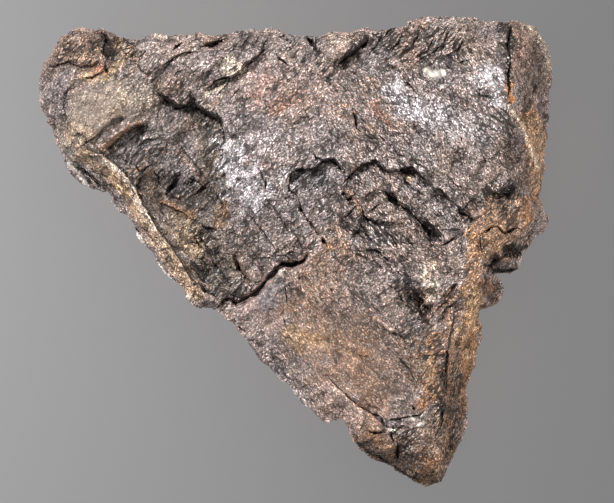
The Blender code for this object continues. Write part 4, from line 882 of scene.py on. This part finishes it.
@dataclass(frozen=True)
class MineralGrain:
    """A shader group: crystal grains or flat chips, each with its own tone, glint and tilt."""

    name: str = "mineral_grain"
    swirl_scale: float = 1.1
    darkest: float = 0.02
    glinting: tuple = (0.88, 0.93)

    def build(self) -> bpy.types.NodeTree:
        """Make the group.

        Returns:
            The finished group.
        """
        group = bpy.data.node_groups.new(self.name, "ShaderNodeTree")
        for label, kind in (("Vector", "Vector"), ("Scale", "Float"), ("Warp", "Float")):
            group.interface.new_socket(name=label, in_out="INPUT", socket_type="NodeSocket" + kind)
        for label in ("Tone", "Glint", "Hue", "Tilt", "Edge"):
            kind = "Vector" if label == "Tilt" else "Float"
            group.interface.new_socket(name=label, in_out="OUTPUT", socket_type="NodeSocket" + kind)
        wiring = Wiring(group)
        start = group.nodes.new("NodeGroupInput").outputs
        scaled = wiring.scaled(start["Vector"], start["Scale"])
        swirl = wiring.centred(wiring.noise(scaled, self.swirl_scale, 1.0).outputs["Color"])
        place = {"Vector": wiring.vector("ADD", scaled, wiring.scaled(swirl, start["Warp"])), "Scale": 1.0}
        colour = wiring.node("TexVoronoi", place).outputs["Color"]
        rims = wiring.node("TexVoronoi", place, feature="DISTANCE_TO_EDGE")
        tone, glint, hue = wiring.node("SeparateColor", {0: colour}).outputs
        log = wiring.math("LOGARITHM", wiring.math("MAXIMUM", tone, self.darkest), math.e)
        results = {"Tone": wiring.times(log, -1.0), "Glint": wiring.ramp(glint, *self.glinting), "Hue": hue,
                   "Tilt": wiring.centred(colour), "Edge": rims.outputs["Distance"]}
        end = group.nodes.new("NodeGroupOutput")
        for label, value in results.items():
            wiring.set_input(end.inputs[label], value)
        return group


@dataclass(frozen=True)
class GraphiteRock:
    """The stone's finish: painted colour, broken into chips and dark and bright crystal grains."""

    fine_scale: float = 7200.0
    mid_scale: float = 4600.0
    chip_scale: float = 900.0
    slab_scale: float = 330.0
    warp: float = 0.9
    chip_warp: float = 0.3
    lies: tuple = (47.0, 133.0)
    stretch: float = 1.7
    streak_stretch: float = 4.5
    streak_scale: float = 2300.0
    streak_crowding: float = 0.27
    streak_edge: tuple = (0.64, 0.66)
    streak_dark: float = 0.93
    streak_start: float = 0.1
    fine_tilt: float = 0.5
    mid_tilt: float = 0.3
    chip_tilt: float = 0.36
    hair_width: float = 0.12
    hair_scale: float = 420.0
    hair_dark: float = 0.7
    hair_places: tuple = (0.5, 0.64)
    hair_speckle: tuple = (0.6, 0.95)
    harsh: float = 1.5
    grit_share: float = 0.66
    gleam_calm: float = -0.15
    flake_share: float = 0.38
    flake_depth: float = 0.4
    flake_rim: float = 0.12
    flake_tones: tuple = (0.5, 1.06)
    fine_share: float = 0.76
    chip_spread: float = 0.24
    slab_spread: float = 0.16
    darkest: float = 0.04
    fray: float = 0.5
    span_fray: float = 2.0
    fray_scale: float = 2600.0
    fade_away: tuple = (0.35, 0.5)
    cleft_edge: float = 0.04
    cleft_darks: tuple = (0.96, 0.7)
    # painted shade on the low side of a ledge, and a painted highlight on its brink
    shade: float = 0.85
    shade_reach: float = 0.5
    brink: float = 0.5
    brink_reach: float = 0.2
    fleck_scale: float = 240.0
    fleck_share: float = 0.7
    fleck_hues: tuple = (0.8, 0.86)
    fleck_places: tuple = (0.5, 0.72)
    fleck_colour: tuple = (0.40, 0.20, 0.09, 1.0)
    glint_colour: tuple = (0.95, 0.93, 0.90, 1.0)
    streak_glint: float = 0.4
    usual_glint: float = 0.3
    rough: float = 0.6
    glint_rough: float = 0.3
    gleam_metal: float = 0.4
    most_metal: float = 0.7

    def build(self, grain: bpy.types.NodeTree) -> bpy.types.Material:
        """Make the material.

        Args:
            grain: the mineral grain group.

        Returns:
            The finished material.
        """
        material = bpy.data.materials.new("graphite_rock")
        material.use_nodes = True
        wiring = Wiring(material.node_tree)
        laid = self.laid(wiring, self.stretch)
        sizes = ((self.fine_scale, self.warp), (self.mid_scale, self.warp), (self.chip_scale, self.chip_warp),
                 (self.slab_scale, self.chip_warp))
        fine, mid, chips, slabs = (
            wiring.node("Group", {"Vector": laid, "Scale": scale, "Warp": warp}, node_tree=grain).outputs
            for scale, warp in sizes)
        speckle, gleam, scored = (wiring.painted(name) for name in ("speckle", "gleam", "scored"))
        crack, ledge = self.clefts(wiring, laid, chips, speckle)
        dark = wiring.math("MAXIMUM", crack, self.streaks(wiring, scored))

        # tone: grit, flakes, chips, slabs, and painted shade under ledges with a painted highlight on their
        # brinks
        grit = wiring.times(wiring.math("POWER", fine["Tone"], self.harsh), self.fine_share)
        flakes = wiring.times(wiring.times_plus(mid["Tone"], self.flake_depth, 1.0 - self.flake_depth),
                              wiring.ramp(mid["Edge"], 0.0, self.flake_rim, *self.flake_tones, False))
        calmed = wiring.times_plus(gleam, self.gleam_calm, speckle)
        tone = wiring.times(self.towards_one(wiring, grit, self.grit_share, calmed),
                            self.towards_one(wiring, flakes, self.flake_share, speckle))
        for factor in (wiring.about_one(chips["Hue"], self.chip_spread),
                       wiring.about_one(slabs["Hue"], self.slab_spread), ledge):
            tone = wiring.times(tone, factor)

        # colour: paint, rusty flecks, tone, glints painted in as highlights, and cracks painted black as
        # shade
        paint = wiring.node("Attribute", attribute_name="paint").outputs["Color"]
        patchy = wiring.noise(laid, self.fleck_scale).outputs[0]
        fleck = wiring.times(wiring.ramp(mid["Hue"], *self.fleck_hues),
                             wiring.ramp(patchy, *self.fleck_places))
        flecked = wiring.mix(wiring.times(fleck, self.fleck_share), paint, self.fleck_colour)
        grey = wiring.node("CombineColor", {0: tone, 1: tone, 2: tone}).outputs[0]
        toned = wiring.mix(1.0, flecked, grey, "MULTIPLY")
        # glints: bright specks painted into the colour as highlights, which are also shinier and more
        # metallic
        shiny = wiring.times_plus(scored, self.streak_glint, wiring.times(speckle, self.usual_glint))
        glint = wiring.times(fine["Glint"], wiring.math("ADD", gleam, shiny))
        glint = wiring.math("MINIMUM", wiring.times(glint, wiring.math("SUBTRACT", 1.0, dark)), 1.0)
        # cracks and dark streaks are painted black; in the cracks the black is painted shade
        colour = wiring.mix(dark, wiring.mix(glint, toned, self.glint_colour), (*Tint.SHADE_BLACK.value, 1.0))

        tilt = (0.0, 0.0, 0.0)
        for grains, share in ((fine, self.fine_tilt), (mid, self.mid_tilt), (chips, self.chip_tilt)):
            tilt = wiring.vector("ADD", tilt, wiring.scaled(grains["Tilt"], share))
        straight = wiring.node("NewGeometry").outputs["Normal"]
        tilted = wiring.vector("ADD", straight, wiring.scaled(tilt, speckle))
        sheen = wiring.times_plus(gleam, self.gleam_metal, glint)
        shader = wiring.node("BsdfPrincipled", {
            "Base Color": colour,
            "Roughness": wiring.ramp(glint, 0.0, 1.0, self.rough, self.glint_rough),
            "Metallic": wiring.ramp(sheen, 0.0, 1.0 + self.gleam_metal, 0.0, self.most_metal),
            "Normal": wiring.vector("NORMALIZE", tilted),
        })
        wiring.node("OutputMaterial", {"Surface": shader.outputs[0]})
        return material

    def towards_one(self, wiring: Wiring, tone: Value, share: float, speckle: Value) -> Socket:
        """Draw a tone towards 1.

        Args:
            wiring: the material's wiring.
            tone: the tone's full swing.
            share: how much of the swing is left at most.
            speckle: how lively the stone is.

        Returns:
            The calmer tone.
        """
        strength = wiring.times(speckle, share)
        drawn = wiring.times_plus(wiring.math("SUBTRACT", tone, 1.0), strength, 1.0)
        return wiring.math("MAXIMUM", drawn, self.darkest)

    def streaks(self, wiring: Wiring, scored: Value) -> Socket:
        """Find the dark streaks, which also paint shade in nooks and under ledges.

        Args:
            wiring: the material's wiring.
            scored: how strongly the stone is streaked, where the streaks crowd closer; it also marks nooks
                and ledges given painted shade.

        Returns:
            A mask, near 1 in a streak.
        """
        waves = wiring.noise(self.laid(wiring, self.streak_stretch), self.streak_scale, 1.0).outputs[0]
        mask = wiring.ramp(wiring.times_plus(scored, self.streak_crowding, waves), *self.streak_edge)
        return wiring.times(wiring.times(mask, self.streak_dark), wiring.ramp(scored, 0.0, self.streak_start))

    def laid(self, wiring: Wiring, stretch: float) -> Socket:
        """Stretch places along the lie of the grain, which leans one way or the other.

        Args:
            wiring: the material's wiring.
            stretch: how many times longer the grain is along its lie.

        Returns:
            The stretched place.
        """
        place = wiring.node("TexCoord").outputs["Object"]
        leaning = wiring.math("GREATER_THAN", wiring.painted("lean"), 0.5)
        right, left = (
            wiring.node("Mapping", {"Vector": place, "Rotation": (0.0, 0.0, math.radians(lie)),
                                    "Scale": (stretch, 1.0, 1.0)}, vector_type="TEXTURE").outputs[0]
            for lie in self.lies)
        return wiring.node("Mix", {"Factor": leaning, 4: right, 5: left}, data_type="VECTOR").outputs[1]

    def clefts(self, wiring: Wiring, place: Value, chips: bpy.types.bpy_prop_collection,
               speckle: Value) -> tuple[Socket, Socket]:
        """Find where a crack is painted dark as shade, and the painted shade and highlight of ledges.

        Args:
            wiring: the material's wiring.
            place: the place on the stone.
            chips: the outputs of the chips, whose rims carry hair cracks.
            speckle: how lively the stone is.

        Returns:
            A mask, 1 in a crack, where black is painted as shade, and a factor for the colour: below 1 as
            painted shade under a ledge, above 1 as a painted highlight on its brink.
        """
        away, span, fall = (wiring.painted(name) for name in ("away", "span", "fall"))
        fray = wiring.math("SUBTRACT", wiring.noise(place, self.fray_scale).outputs[0], 0.5)
        frayed = wiring.times_plus(span, self.span_fray, self.fray)
        beside = wiring.times_plus(fray, frayed, wiring.painted("beside"))
        outside = wiring.math("SUBTRACT", wiring.math("ABSOLUTE", beside), span)
        cleft = wiring.times(wiring.ramp(outside, -self.cleft_edge, self.cleft_edge, 1.0, 0.0),
                             wiring.ramp(away, *self.fade_away, 1.0, 0.0))
        cleft = wiring.times(cleft, wiring.ramp(chips["Hue"], 0.1, 0.9, *self.cleft_darks))
        broken = wiring.ramp(wiring.noise(place, self.hair_scale).outputs[0], *self.hair_places)
        width = wiring.times(wiring.times(broken, self.hair_width),
                             wiring.ramp(speckle, *self.hair_speckle))
        hair = wiring.math("LESS_THAN", chips["Edge"], width)
        crack = wiring.math("MAXIMUM", cleft, wiring.times(hair, self.hair_dark))
        shaded = wiring.times(self.slope(wiring, beside, self.shade_reach), fall)
        brink = wiring.times(self.slope(wiring, wiring.times(beside, -1.0), self.brink_reach), fall)
        ledge = wiring.times_plus(wiring.math("MINIMUM", shaded, 1.0), -self.shade, 1.0)
        return crack, wiring.times_plus(brink, self.brink, ledge)

    def slope(self, wiring: Wiring, beside: Value, reach: float) -> Socket:
        """Fall away from 1 at a ledge to nothing, on one side only."""
        gone = wiring.math("EXPONENT", wiring.times(beside, -1.0 / reach))
        return wiring.times(gone, wiring.math("GREATER_THAN", beside, 0.0))


@dataclass(frozen=True)
class Specimen:
    """The stone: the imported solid's copy, refined, broken up, cracked and painted. Lengths are in mm."""

    view: Viewpoint
    finish: GraphiteRock = field(default_factory=GraphiteRock)
    weld: float = 0.001
    face_cuts: int = 3
    face_rise: float = 0.22
    face_floor: float = 2.0
    wall_cuts: int = 2
    wall_area: float = 0.25
    base_gap: float = 0.01
    longest_edge: float = 1.15
    crack_margin: float = 0.03
    crack_area: float = 0.018
    crack_box: float = 1.5
    smooth_rounds: int = 2
    wall_rounds: int = 9
    smooth_foot: tuple = (0.2, 1.2)
    wall_chips: tuple = ((6.5, 0.11, 51.0), (3.0, 0.10, 55.0), (1.3, 0.09, 59.0))
    bed_shape: tuple = (0.8, 0.8, 1.5)
    bed_dip: Place = (0.45, -0.3)
    bed_flatness: tuple = (0.35, 0.35, 1.6)
    chips: tuple = ((3.4, 0.095, 7.7), (1.7, 0.09, 3.1), (0.8, 0.08, 11.7))
    chip_stretch: float = 0.45
    lie_right: tuple = (0.68, 0.73, 0.0)
    lie_left: tuple = (-0.71, 0.71, 0.0)
    foot: tuple = (0.05, 2.0)
    crack_rise: tuple = (0.05, 0.35)
    least_gain: float = 0.25
    swell: float = 0.04
    side_jitter: float = 0.04
    grit: float = 0.012
    usual_speckle: float = 0.95
    steel_share: float = 0.5
    tan_share: float = 0.4
    wall_dark: float = 0.2
    bed_dark: float = 0.3
    wall_ochre: float = 0.6
    shade_black_share: float = 0.2
    white_calm: float = 0.92
    paint_rise: tuple = (-0.1, 0.2)
    hollow_shade: float = 0.55
    edge_highlight: float = 0.35
    wall_speckle: float = 0.45

    def build(self, grain: bpy.types.NodeTree) -> bpy.types.Object:
        """Model, paint and register the stone.

        Args:
            grain: the mineral grain group for its finish.

        Returns:
            The finished piece.
        """
        low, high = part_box(NODE)
        stone = self.copy_node()
        self.refine(stone)
        self.soften(stone)
        self.break_up(stone.data, low, high)
        self.paint(stone.data)
        stone.data.materials.clear()
        stone.data.materials.append(self.finish.build(grain))
        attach(stone, BODY)
        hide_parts(NODE)
        LOG.info("stone: %d triangles", len(stone.data.polygons))
        return stone

    def copy_node(self) -> bpy.types.Object:
        """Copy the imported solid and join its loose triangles.

        Returns:
            The copy, selected and active.
        """
        source = bpy.data.objects[NODE]
        stone = bpy.data.objects.new("graphite_stone", source.data.copy())
        bpy.context.scene.collection.objects.link(stone)
        bpy.ops.object.select_all(action="DESELECT")
        bpy.context.view_layer.objects.active = stone
        stone.select_set(True)
        bpy.ops.object.mode_set(mode="EDIT")
        bpy.ops.mesh.select_all(action="SELECT")
        bpy.ops.mesh.remove_doubles(threshold=self.weld * MM)
        bpy.ops.object.mode_set(mode="OBJECT")
        return stone

    def subdivide(self, mesh: bpy.types.Mesh, chosen: np.ndarray, cuts: int, kind: str = "FACE") -> None:
        """Cut the chosen faces or edges finer and leave triangles only.

        Args:
            mesh: the stone's mesh.
            chosen: true for each face or edge to cut.
            cuts: cuts along each edge.
            kind: FACE or EDGE.
        """
        bpy.ops.object.mode_set(mode="EDIT")
        bpy.ops.mesh.select_mode(type=kind)
        bpy.ops.mesh.select_all(action="DESELECT")
        bpy.ops.object.mode_set(mode="OBJECT")
        items = mesh.polygons if kind == "FACE" else mesh.edges
        items.foreach_set("select", chosen)
        bpy.ops.object.mode_set(mode="EDIT")
        bpy.ops.mesh.subdivide(number_cuts=cuts)
        bpy.ops.mesh.select_all(action="SELECT")
        bpy.ops.mesh.quads_convert_to_tris(quad_method="BEAUTY", ngon_method="BEAUTY")
        bpy.ops.object.mode_set(mode="OBJECT")

    def refine(self, stone: bpy.types.Object) -> None:
        """Cut the stone finer: the face more than the walls, and again along the cracks.

        Args:
            stone: the solid's copy.
        """
        mesh = stone.data
        rise, height, _ = self.faces(mesh)
        self.subdivide(mesh, (rise > self.face_rise) & (height > self.face_floor), self.face_cuts)
        _, height, area = self.faces(mesh)
        self.subdivide(mesh, (area > self.wall_area) & (height > self.base_gap), self.wall_cuts)
        ends = (rows_of(mesh.vertices, "co") / MM)[edge_ends(mesh)]
        length = np.linalg.norm(ends[:, 0] - ends[:, 1], axis=1)
        standing = ends[:, :, 2].max(axis=1) > 2.0 * self.base_gap
        self.subdivide(mesh, (length > self.longest_edge) & standing, 1, "EDGE")
        rise, _, area = self.faces(mesh)
        seen = self.view.seen(rows_of(mesh.polygons, "center") / MM)
        near = np.zeros(len(seen), bool)
        for crack in BREAKS:
            box = np.flatnonzero(within(seen, crack.line, self.crack_box))
            near[box] |= distance_to_line(seen[box], crack.line)[0] < crack.width / 2 + self.crack_margin
        self.subdivide(mesh, near & (rise > 0.0) & (area > self.crack_area), 1)

    def faces(self, mesh: bpy.types.Mesh) -> tuple[np.ndarray, np.ndarray, np.ndarray]:
        """Measure every face.

        Args:
            mesh: the stone's mesh.

        Returns:
            How far each looks up, from -1 to 1, its height in mm and its area in square mm.
        """
        rise = rows_of(mesh.polygons, "normal")[:, 2]
        height = rows_of(mesh.polygons, "center")[:, 2] / MM
        return rise, height, rows_of(mesh.polygons, "area", 1)[:, 0] / MM**2

    def soften(self, stone: bpy.types.Object) -> None:
        """Round the coarse solid's edges, the walls' more than the face's, before the fine breaking.

        Args:
            stone: the refined stone.
        """
        bpy.context.view_layer.objects.active = stone
        rise = rows_of(stone.data.vertex_normals, "vector")[:, 2]
        height = rows_of(stone.data.vertices, "co")[:, 2] / MM
        steps = 4
        share = np.round(steps * smooth_step(*WALL_RISE, rise) * smooth_step(*self.smooth_foot, height))
        walls = stone.vertex_groups.new(name="walls")
        for step in range(1, steps + 1):
            walls.add(np.flatnonzero(share == step).tolist(), step / steps, "REPLACE")
        for group, rounds in (("", self.smooth_rounds), (walls.name, self.wall_rounds)):
            smooth = stone.modifiers.new("smooth", "SMOOTH")
            smooth.factor = 0.5
            smooth.iterations = rounds
            smooth.vertex_group = group
            bpy.ops.object.modifier_apply(modifier=smooth.name)
        stone.vertex_groups.clear()

    def break_up(self, mesh: bpy.types.Mesh, low: Vector, high: Vector) -> None:
        """Chip, roughen and crack the stone, inside the solid's own box.

        Args:
            mesh: the refined stone's mesh.
            low: the box's lowest corner.
            high: the box's highest corner.
        """
        points = rows_of(mesh.vertices, "co") / MM
        normals = rows_of(mesh.vertex_normals, "vector")
        seen = self.view.seen(points)
        leaning = lean(seen)
        standing = smooth_step(*self.foot, points[:, 2])
        drawn = np.column_stack([seen, points[:, 2]])
        along = np.where(leaning[:, None] > 0.5, self.lie_left, self.lie_right)
        stretched = drawn - self.chip_stretch * (drawn * along).sum(axis=1)[:, None] * along
        relief = chipped(stretched, self.chips)
        relief += self.swell * noise_at(points, size=2.6, layer=5.0, octaves=3)
        bedded = points * self.bed_shape
        bedded[:, 2] += self.bed_dip[0] * points[:, 0] + self.bed_dip[1] * points[:, 1]
        relief = relief + smooth_step(*WALL_RISE, normals[:, 2]) * (chipped(bedded, self.wall_chips) - relief)
        relief *= np.clip(swelled(seen, 1.0, BROKEN), self.least_gain, None)
        stray = np.column_stack([noise_at(points, size=0.25, layer=layer) for layer in (2.0, 8.0, 14.0)])
        moves = (relief + self.grit * stray[:, 2])[:, None] * normals + self.side_jitter * stray
        wander = np.column_stack([noise_at(drawn, size=0.9, layer=layer, octaves=2)
                                  for layer in (21.0, 27.0)])
        upward = smooth_step(*self.crack_rise, normals[:, 2])
        lines = np.tile(FAR, (len(points), 1))
        for crack in BREAKS:
            near, signed, half, fall, sink = crack.cut(seen, wander)
            moves[near, 2] -= upward[near] * sink
            away = np.abs(signed) + 1.0 - upward[near]
            closer = away - half < lines[near, 0] - lines[near, 2]
            lines[near[closer]] = np.column_stack([away, signed, half, fall])[closer]
        points += standing[:, None] * moves
        points = np.clip(points, np.array(low) / MM, np.array(high) / MM)
        mesh.vertices.foreach_set("co", (points * MM).ravel())
        mesh.update()
        for column, name in enumerate(("away", "beside", "span", "fall")):
            write_values(mesh, name, lines[:, column])
        write_values(mesh, "lean", leaning)

    def paint(self, mesh: bpy.types.Mesh) -> None:
        """Paint the stone's colour, with painted shade and highlights, and say where it speckles and gleams.

        Args:
            mesh: the broken stone's mesh.
        """
        points = rows_of(mesh.vertices, "co") / MM
        normals = rows_of(mesh.vertex_normals, "vector")
        seen = self.view.seen(points)
        facing = smooth_step(*self.paint_rise, normals[:, 2])
        wall = 1.0 - facing
        fray = noise_at(points, size=1.6, layer=31.0, octaves=3)
        blotch = noise_at(points, size=5.0, layer=37.0, octaves=3)
        bed = noise_at(points * self.bed_flatness, size=2.2, layer=43.0, octaves=3)
        colour = np.tile(Tint.GREY.value, (len(points), 1))
        colour = blend_tint(colour, Tint.STEEL, self.steel_share * smooth_step(0.0, 0.6, blotch))
        colour = blend_tint(colour, Tint.TAN, self.tan_share * smooth_step(0.0, 0.7, -blotch))
        dark = self.wall_dark + self.bed_dark * np.clip(bed, -1.0, 1.0)
        colour = blend_tint(colour, Tint.UMBER, wall * dark)
        colour = blend_tint(colour, Tint.OCHRE, wall * self.wall_ochre * smooth_step(0.1, 0.6, fray))
        gleam, scored, quiet = np.zeros((3, len(points)))
        for patch in PATCHES:
            cover = facing * patch.cover(seen, fray)
            # black patches mark dark streaks and painted shade, and darken the colour a little
            if patch.tint is Tint.SHADE_BLACK:
                scored = np.maximum(scored, cover)
                cover = self.shade_black_share * cover
            if patch.tint is Tint.WHITE:
                quiet = np.maximum(quiet, cover)
            colour = blend_tint(colour, patch.tint, cover)
            # silver patches mark the painted sheen, which the finish whitens with glints and makes more
            # metallic
            gleam = np.maximum(gleam, cover) if patch.tint is Tint.SHEEN_SILVER else gleam * (1.0 - cover)
        # painted shade in hollows and painted highlight on standing edges
        hollow = self.hollowness(mesh)
        deep, proud = np.clip(hollow, 0.0, None), np.clip(-hollow, 0.0, None)
        shade = np.clip(1.0 - self.hollow_shade * deep + self.edge_highlight * proud, 0.25, 1.5)
        speckle = self.wall_speckle + (1.0 - self.wall_speckle) * facing
        speckle *= swelled(seen, self.usual_speckle, LIVELY) * (1.0 - self.white_calm * quiet)
        write_colour(mesh, "paint", colour * shade[:, None])
        write_values(mesh, "speckle", speckle)
        write_values(mesh, "gleam", gleam)
        write_values(mesh, "scored", scored)

    def hollowness(self, mesh: bpy.types.Mesh, rounds: int = 3, full: float = 0.12) -> np.ndarray:
        """Tell hollows from edges, for painted shade in hollows and a painted highlight on edges.

        Args:
            mesh: the broken stone's mesh.
            rounds: how many neighbours away the ground is compared.
            full: how far below its surroundings a point is fully hollow.

        Returns:
            From 1 in a hollow to -1 on a standing edge.
        """
        points = rows_of(mesh.vertices, "co") / MM
        first, last = edge_ends(mesh).T
        count = np.bincount(first, minlength=len(points)) + np.bincount(last, minlength=len(points))
        mean = points.copy()
        for _ in range(rounds):
            total = np.zeros_like(mean)
            for axis in range(3):
                total[:, axis] = np.bincount(first, mean[last, axis], len(points))
                total[:, axis] += np.bincount(last, mean[first, axis], len(points))
            mean = total / count[:, None]
        above = ((mean - points) * rows_of(mesh.vertex_normals, "vector")).sum(axis=1)
        return np.clip(above / full, -1.0, 1.0)


@dataclass(frozen=True)
class FloorPaper:
    """The finish of the floor: plain matt paper with a faint tooth."""

    colour: tuple = (0.44, 0.435, 0.435, 1.0)
    tooth_scale: float = 900.0
    tooth: float = 0.02
    tooth_height: float = 0.0002
    rough: float = 0.9

    def build(self) -> bpy.types.Material:
        """Make the material.

        Returns:
            The finished material.
        """
        material = bpy.data.materials.new("floor_paper")
        material.use_nodes = True
        wiring = Wiring(material.node_tree)
        tooth = wiring.noise(wiring.node("TexCoord").outputs["Object"], self.tooth_scale).outputs[0]
        bump = wiring.node("Bump", {"Strength": self.tooth, "Distance": self.tooth_height, "Height": tooth})
        shader = wiring.node("BsdfPrincipled", {"Base Color": self.colour, "Roughness": self.rough,
                                                "Normal": bump.outputs[0]})
        wiring.node("OutputMaterial", {"Surface": shader.outputs[0]})
        return material


@dataclass(frozen=True)
class Lamp:
    """A soft square light that faces the stone."""

    name: str
    bearing: float
    height: float
    width: float
    power: float
    colour: tuple[float, float, float] = (1.0, 1.0, 1.0)
    reach: float = 0.8

    def build(self, target: Vector, lit: bpy.types.Collection) -> bpy.types.Object:
        """Hang the light on its bearing and turn it to the target.

        Args:
            target: the point it faces.
            lit: the things that it lights.

        Returns:
            The light.
        """
        bearing, height = math.radians(self.bearing), math.radians(self.height)
        level = math.cos(height)
        towards = Vector((math.sin(bearing) * level, math.cos(bearing) * level, math.sin(height)))
        bpy.ops.object.light_add(type="AREA", location=target + self.reach * towards)
        lamp = bpy.context.object
        lamp.name = self.name
        lamp.data.size = self.width
        lamp.data.energy = self.power
        lamp.data.color = self.colour
        lamp.rotation_euler = towards.to_track_quat("Z", "Y").to_euler()
        lamp.light_linking.receiver_collection = lit
        LOG.info("%s: %.1f W from %.0f degrees", self.name, self.power, self.bearing)
        return lamp


@dataclass(frozen=True)
class Studio:
    """The floor, the lights and the camera."""

    view: Viewpoint
    paper: FloorPaper = field(default_factory=FloorPaper)
    floor_size: float = 6.0
    floor_drop: float = 0.0003
    target: tuple[float, float, float] = (0.0, 0.0, 0.02)
    sky: tuple = (0.94, 0.97, 1.0, 1.0)
    sky_strength: float = 0.2
    stone_lamps: tuple = (
        Lamp("key_light", 318.0, 42.0, 0.14, 7.0),
        Lamp("left_fill", 225.0, 30.0, 0.40, 1.4),
        Lamp("right_fill", 85.0, 28.0, 0.35, 4.6, (1.0, 0.95, 0.88)),
    )
    floor_lamps: tuple = (Lamp("floor_light", 277.0, 42.0, 0.12, 0.54, reach=0.26),)

    def build(self, stone: bpy.types.Object) -> None:
        """Set up the studio round the stone.

        Args:
            stone: the finished piece.
        """
        floor = self.lay_floor()
        for lamps, thing in ((self.stone_lamps, stone), (self.floor_lamps, floor)):
            lit = bpy.data.collections.new("lit_" + thing.name)
            lit.objects.link(thing)
            for lamp in lamps:
                made = lamp.build(Vector(self.target), lit)
                if thing is floor:
                    made.light_linking.blocker_collection = lit
        world = bpy.data.worlds.new("studio")
        world.use_nodes = True
        background = world.node_tree.nodes["Background"]
        background.inputs["Color"].default_value = self.sky
        background.inputs["Strength"].default_value = self.sky_strength
        bpy.context.scene.world = world
        bpy.context.scene.view_settings.view_transform = "Standard"
        self.view.place_camera()

    def lay_floor(self) -> bpy.types.Object:
        """Lay the floor just under the stone.

        Returns:
            The floor.
        """
        bpy.ops.object.select_all(action="DESELECT")
        bpy.ops.mesh.primitive_plane_add(size=self.floor_size, location=(0.0, 0.0, -self.floor_drop))
        floor = bpy.context.object
        floor.name = "floor"
        bpy.ops.object.transform_apply(location=True)
        floor.data.materials.append(self.paper.build())
        LOG.info("floor: %.1f m square", self.floor_size)
        return floor


def main() -> None:
    """Build the stone and its studio in order."""
    logging.basicConfig(level=logging.INFO, format="%(name)s %(message)s")
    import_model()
    view = Viewpoint()
    stone = Specimen(view).build(MineralGrain().build())
    Studio(view).build(stone)


if __name__ == "__main__":
    main()
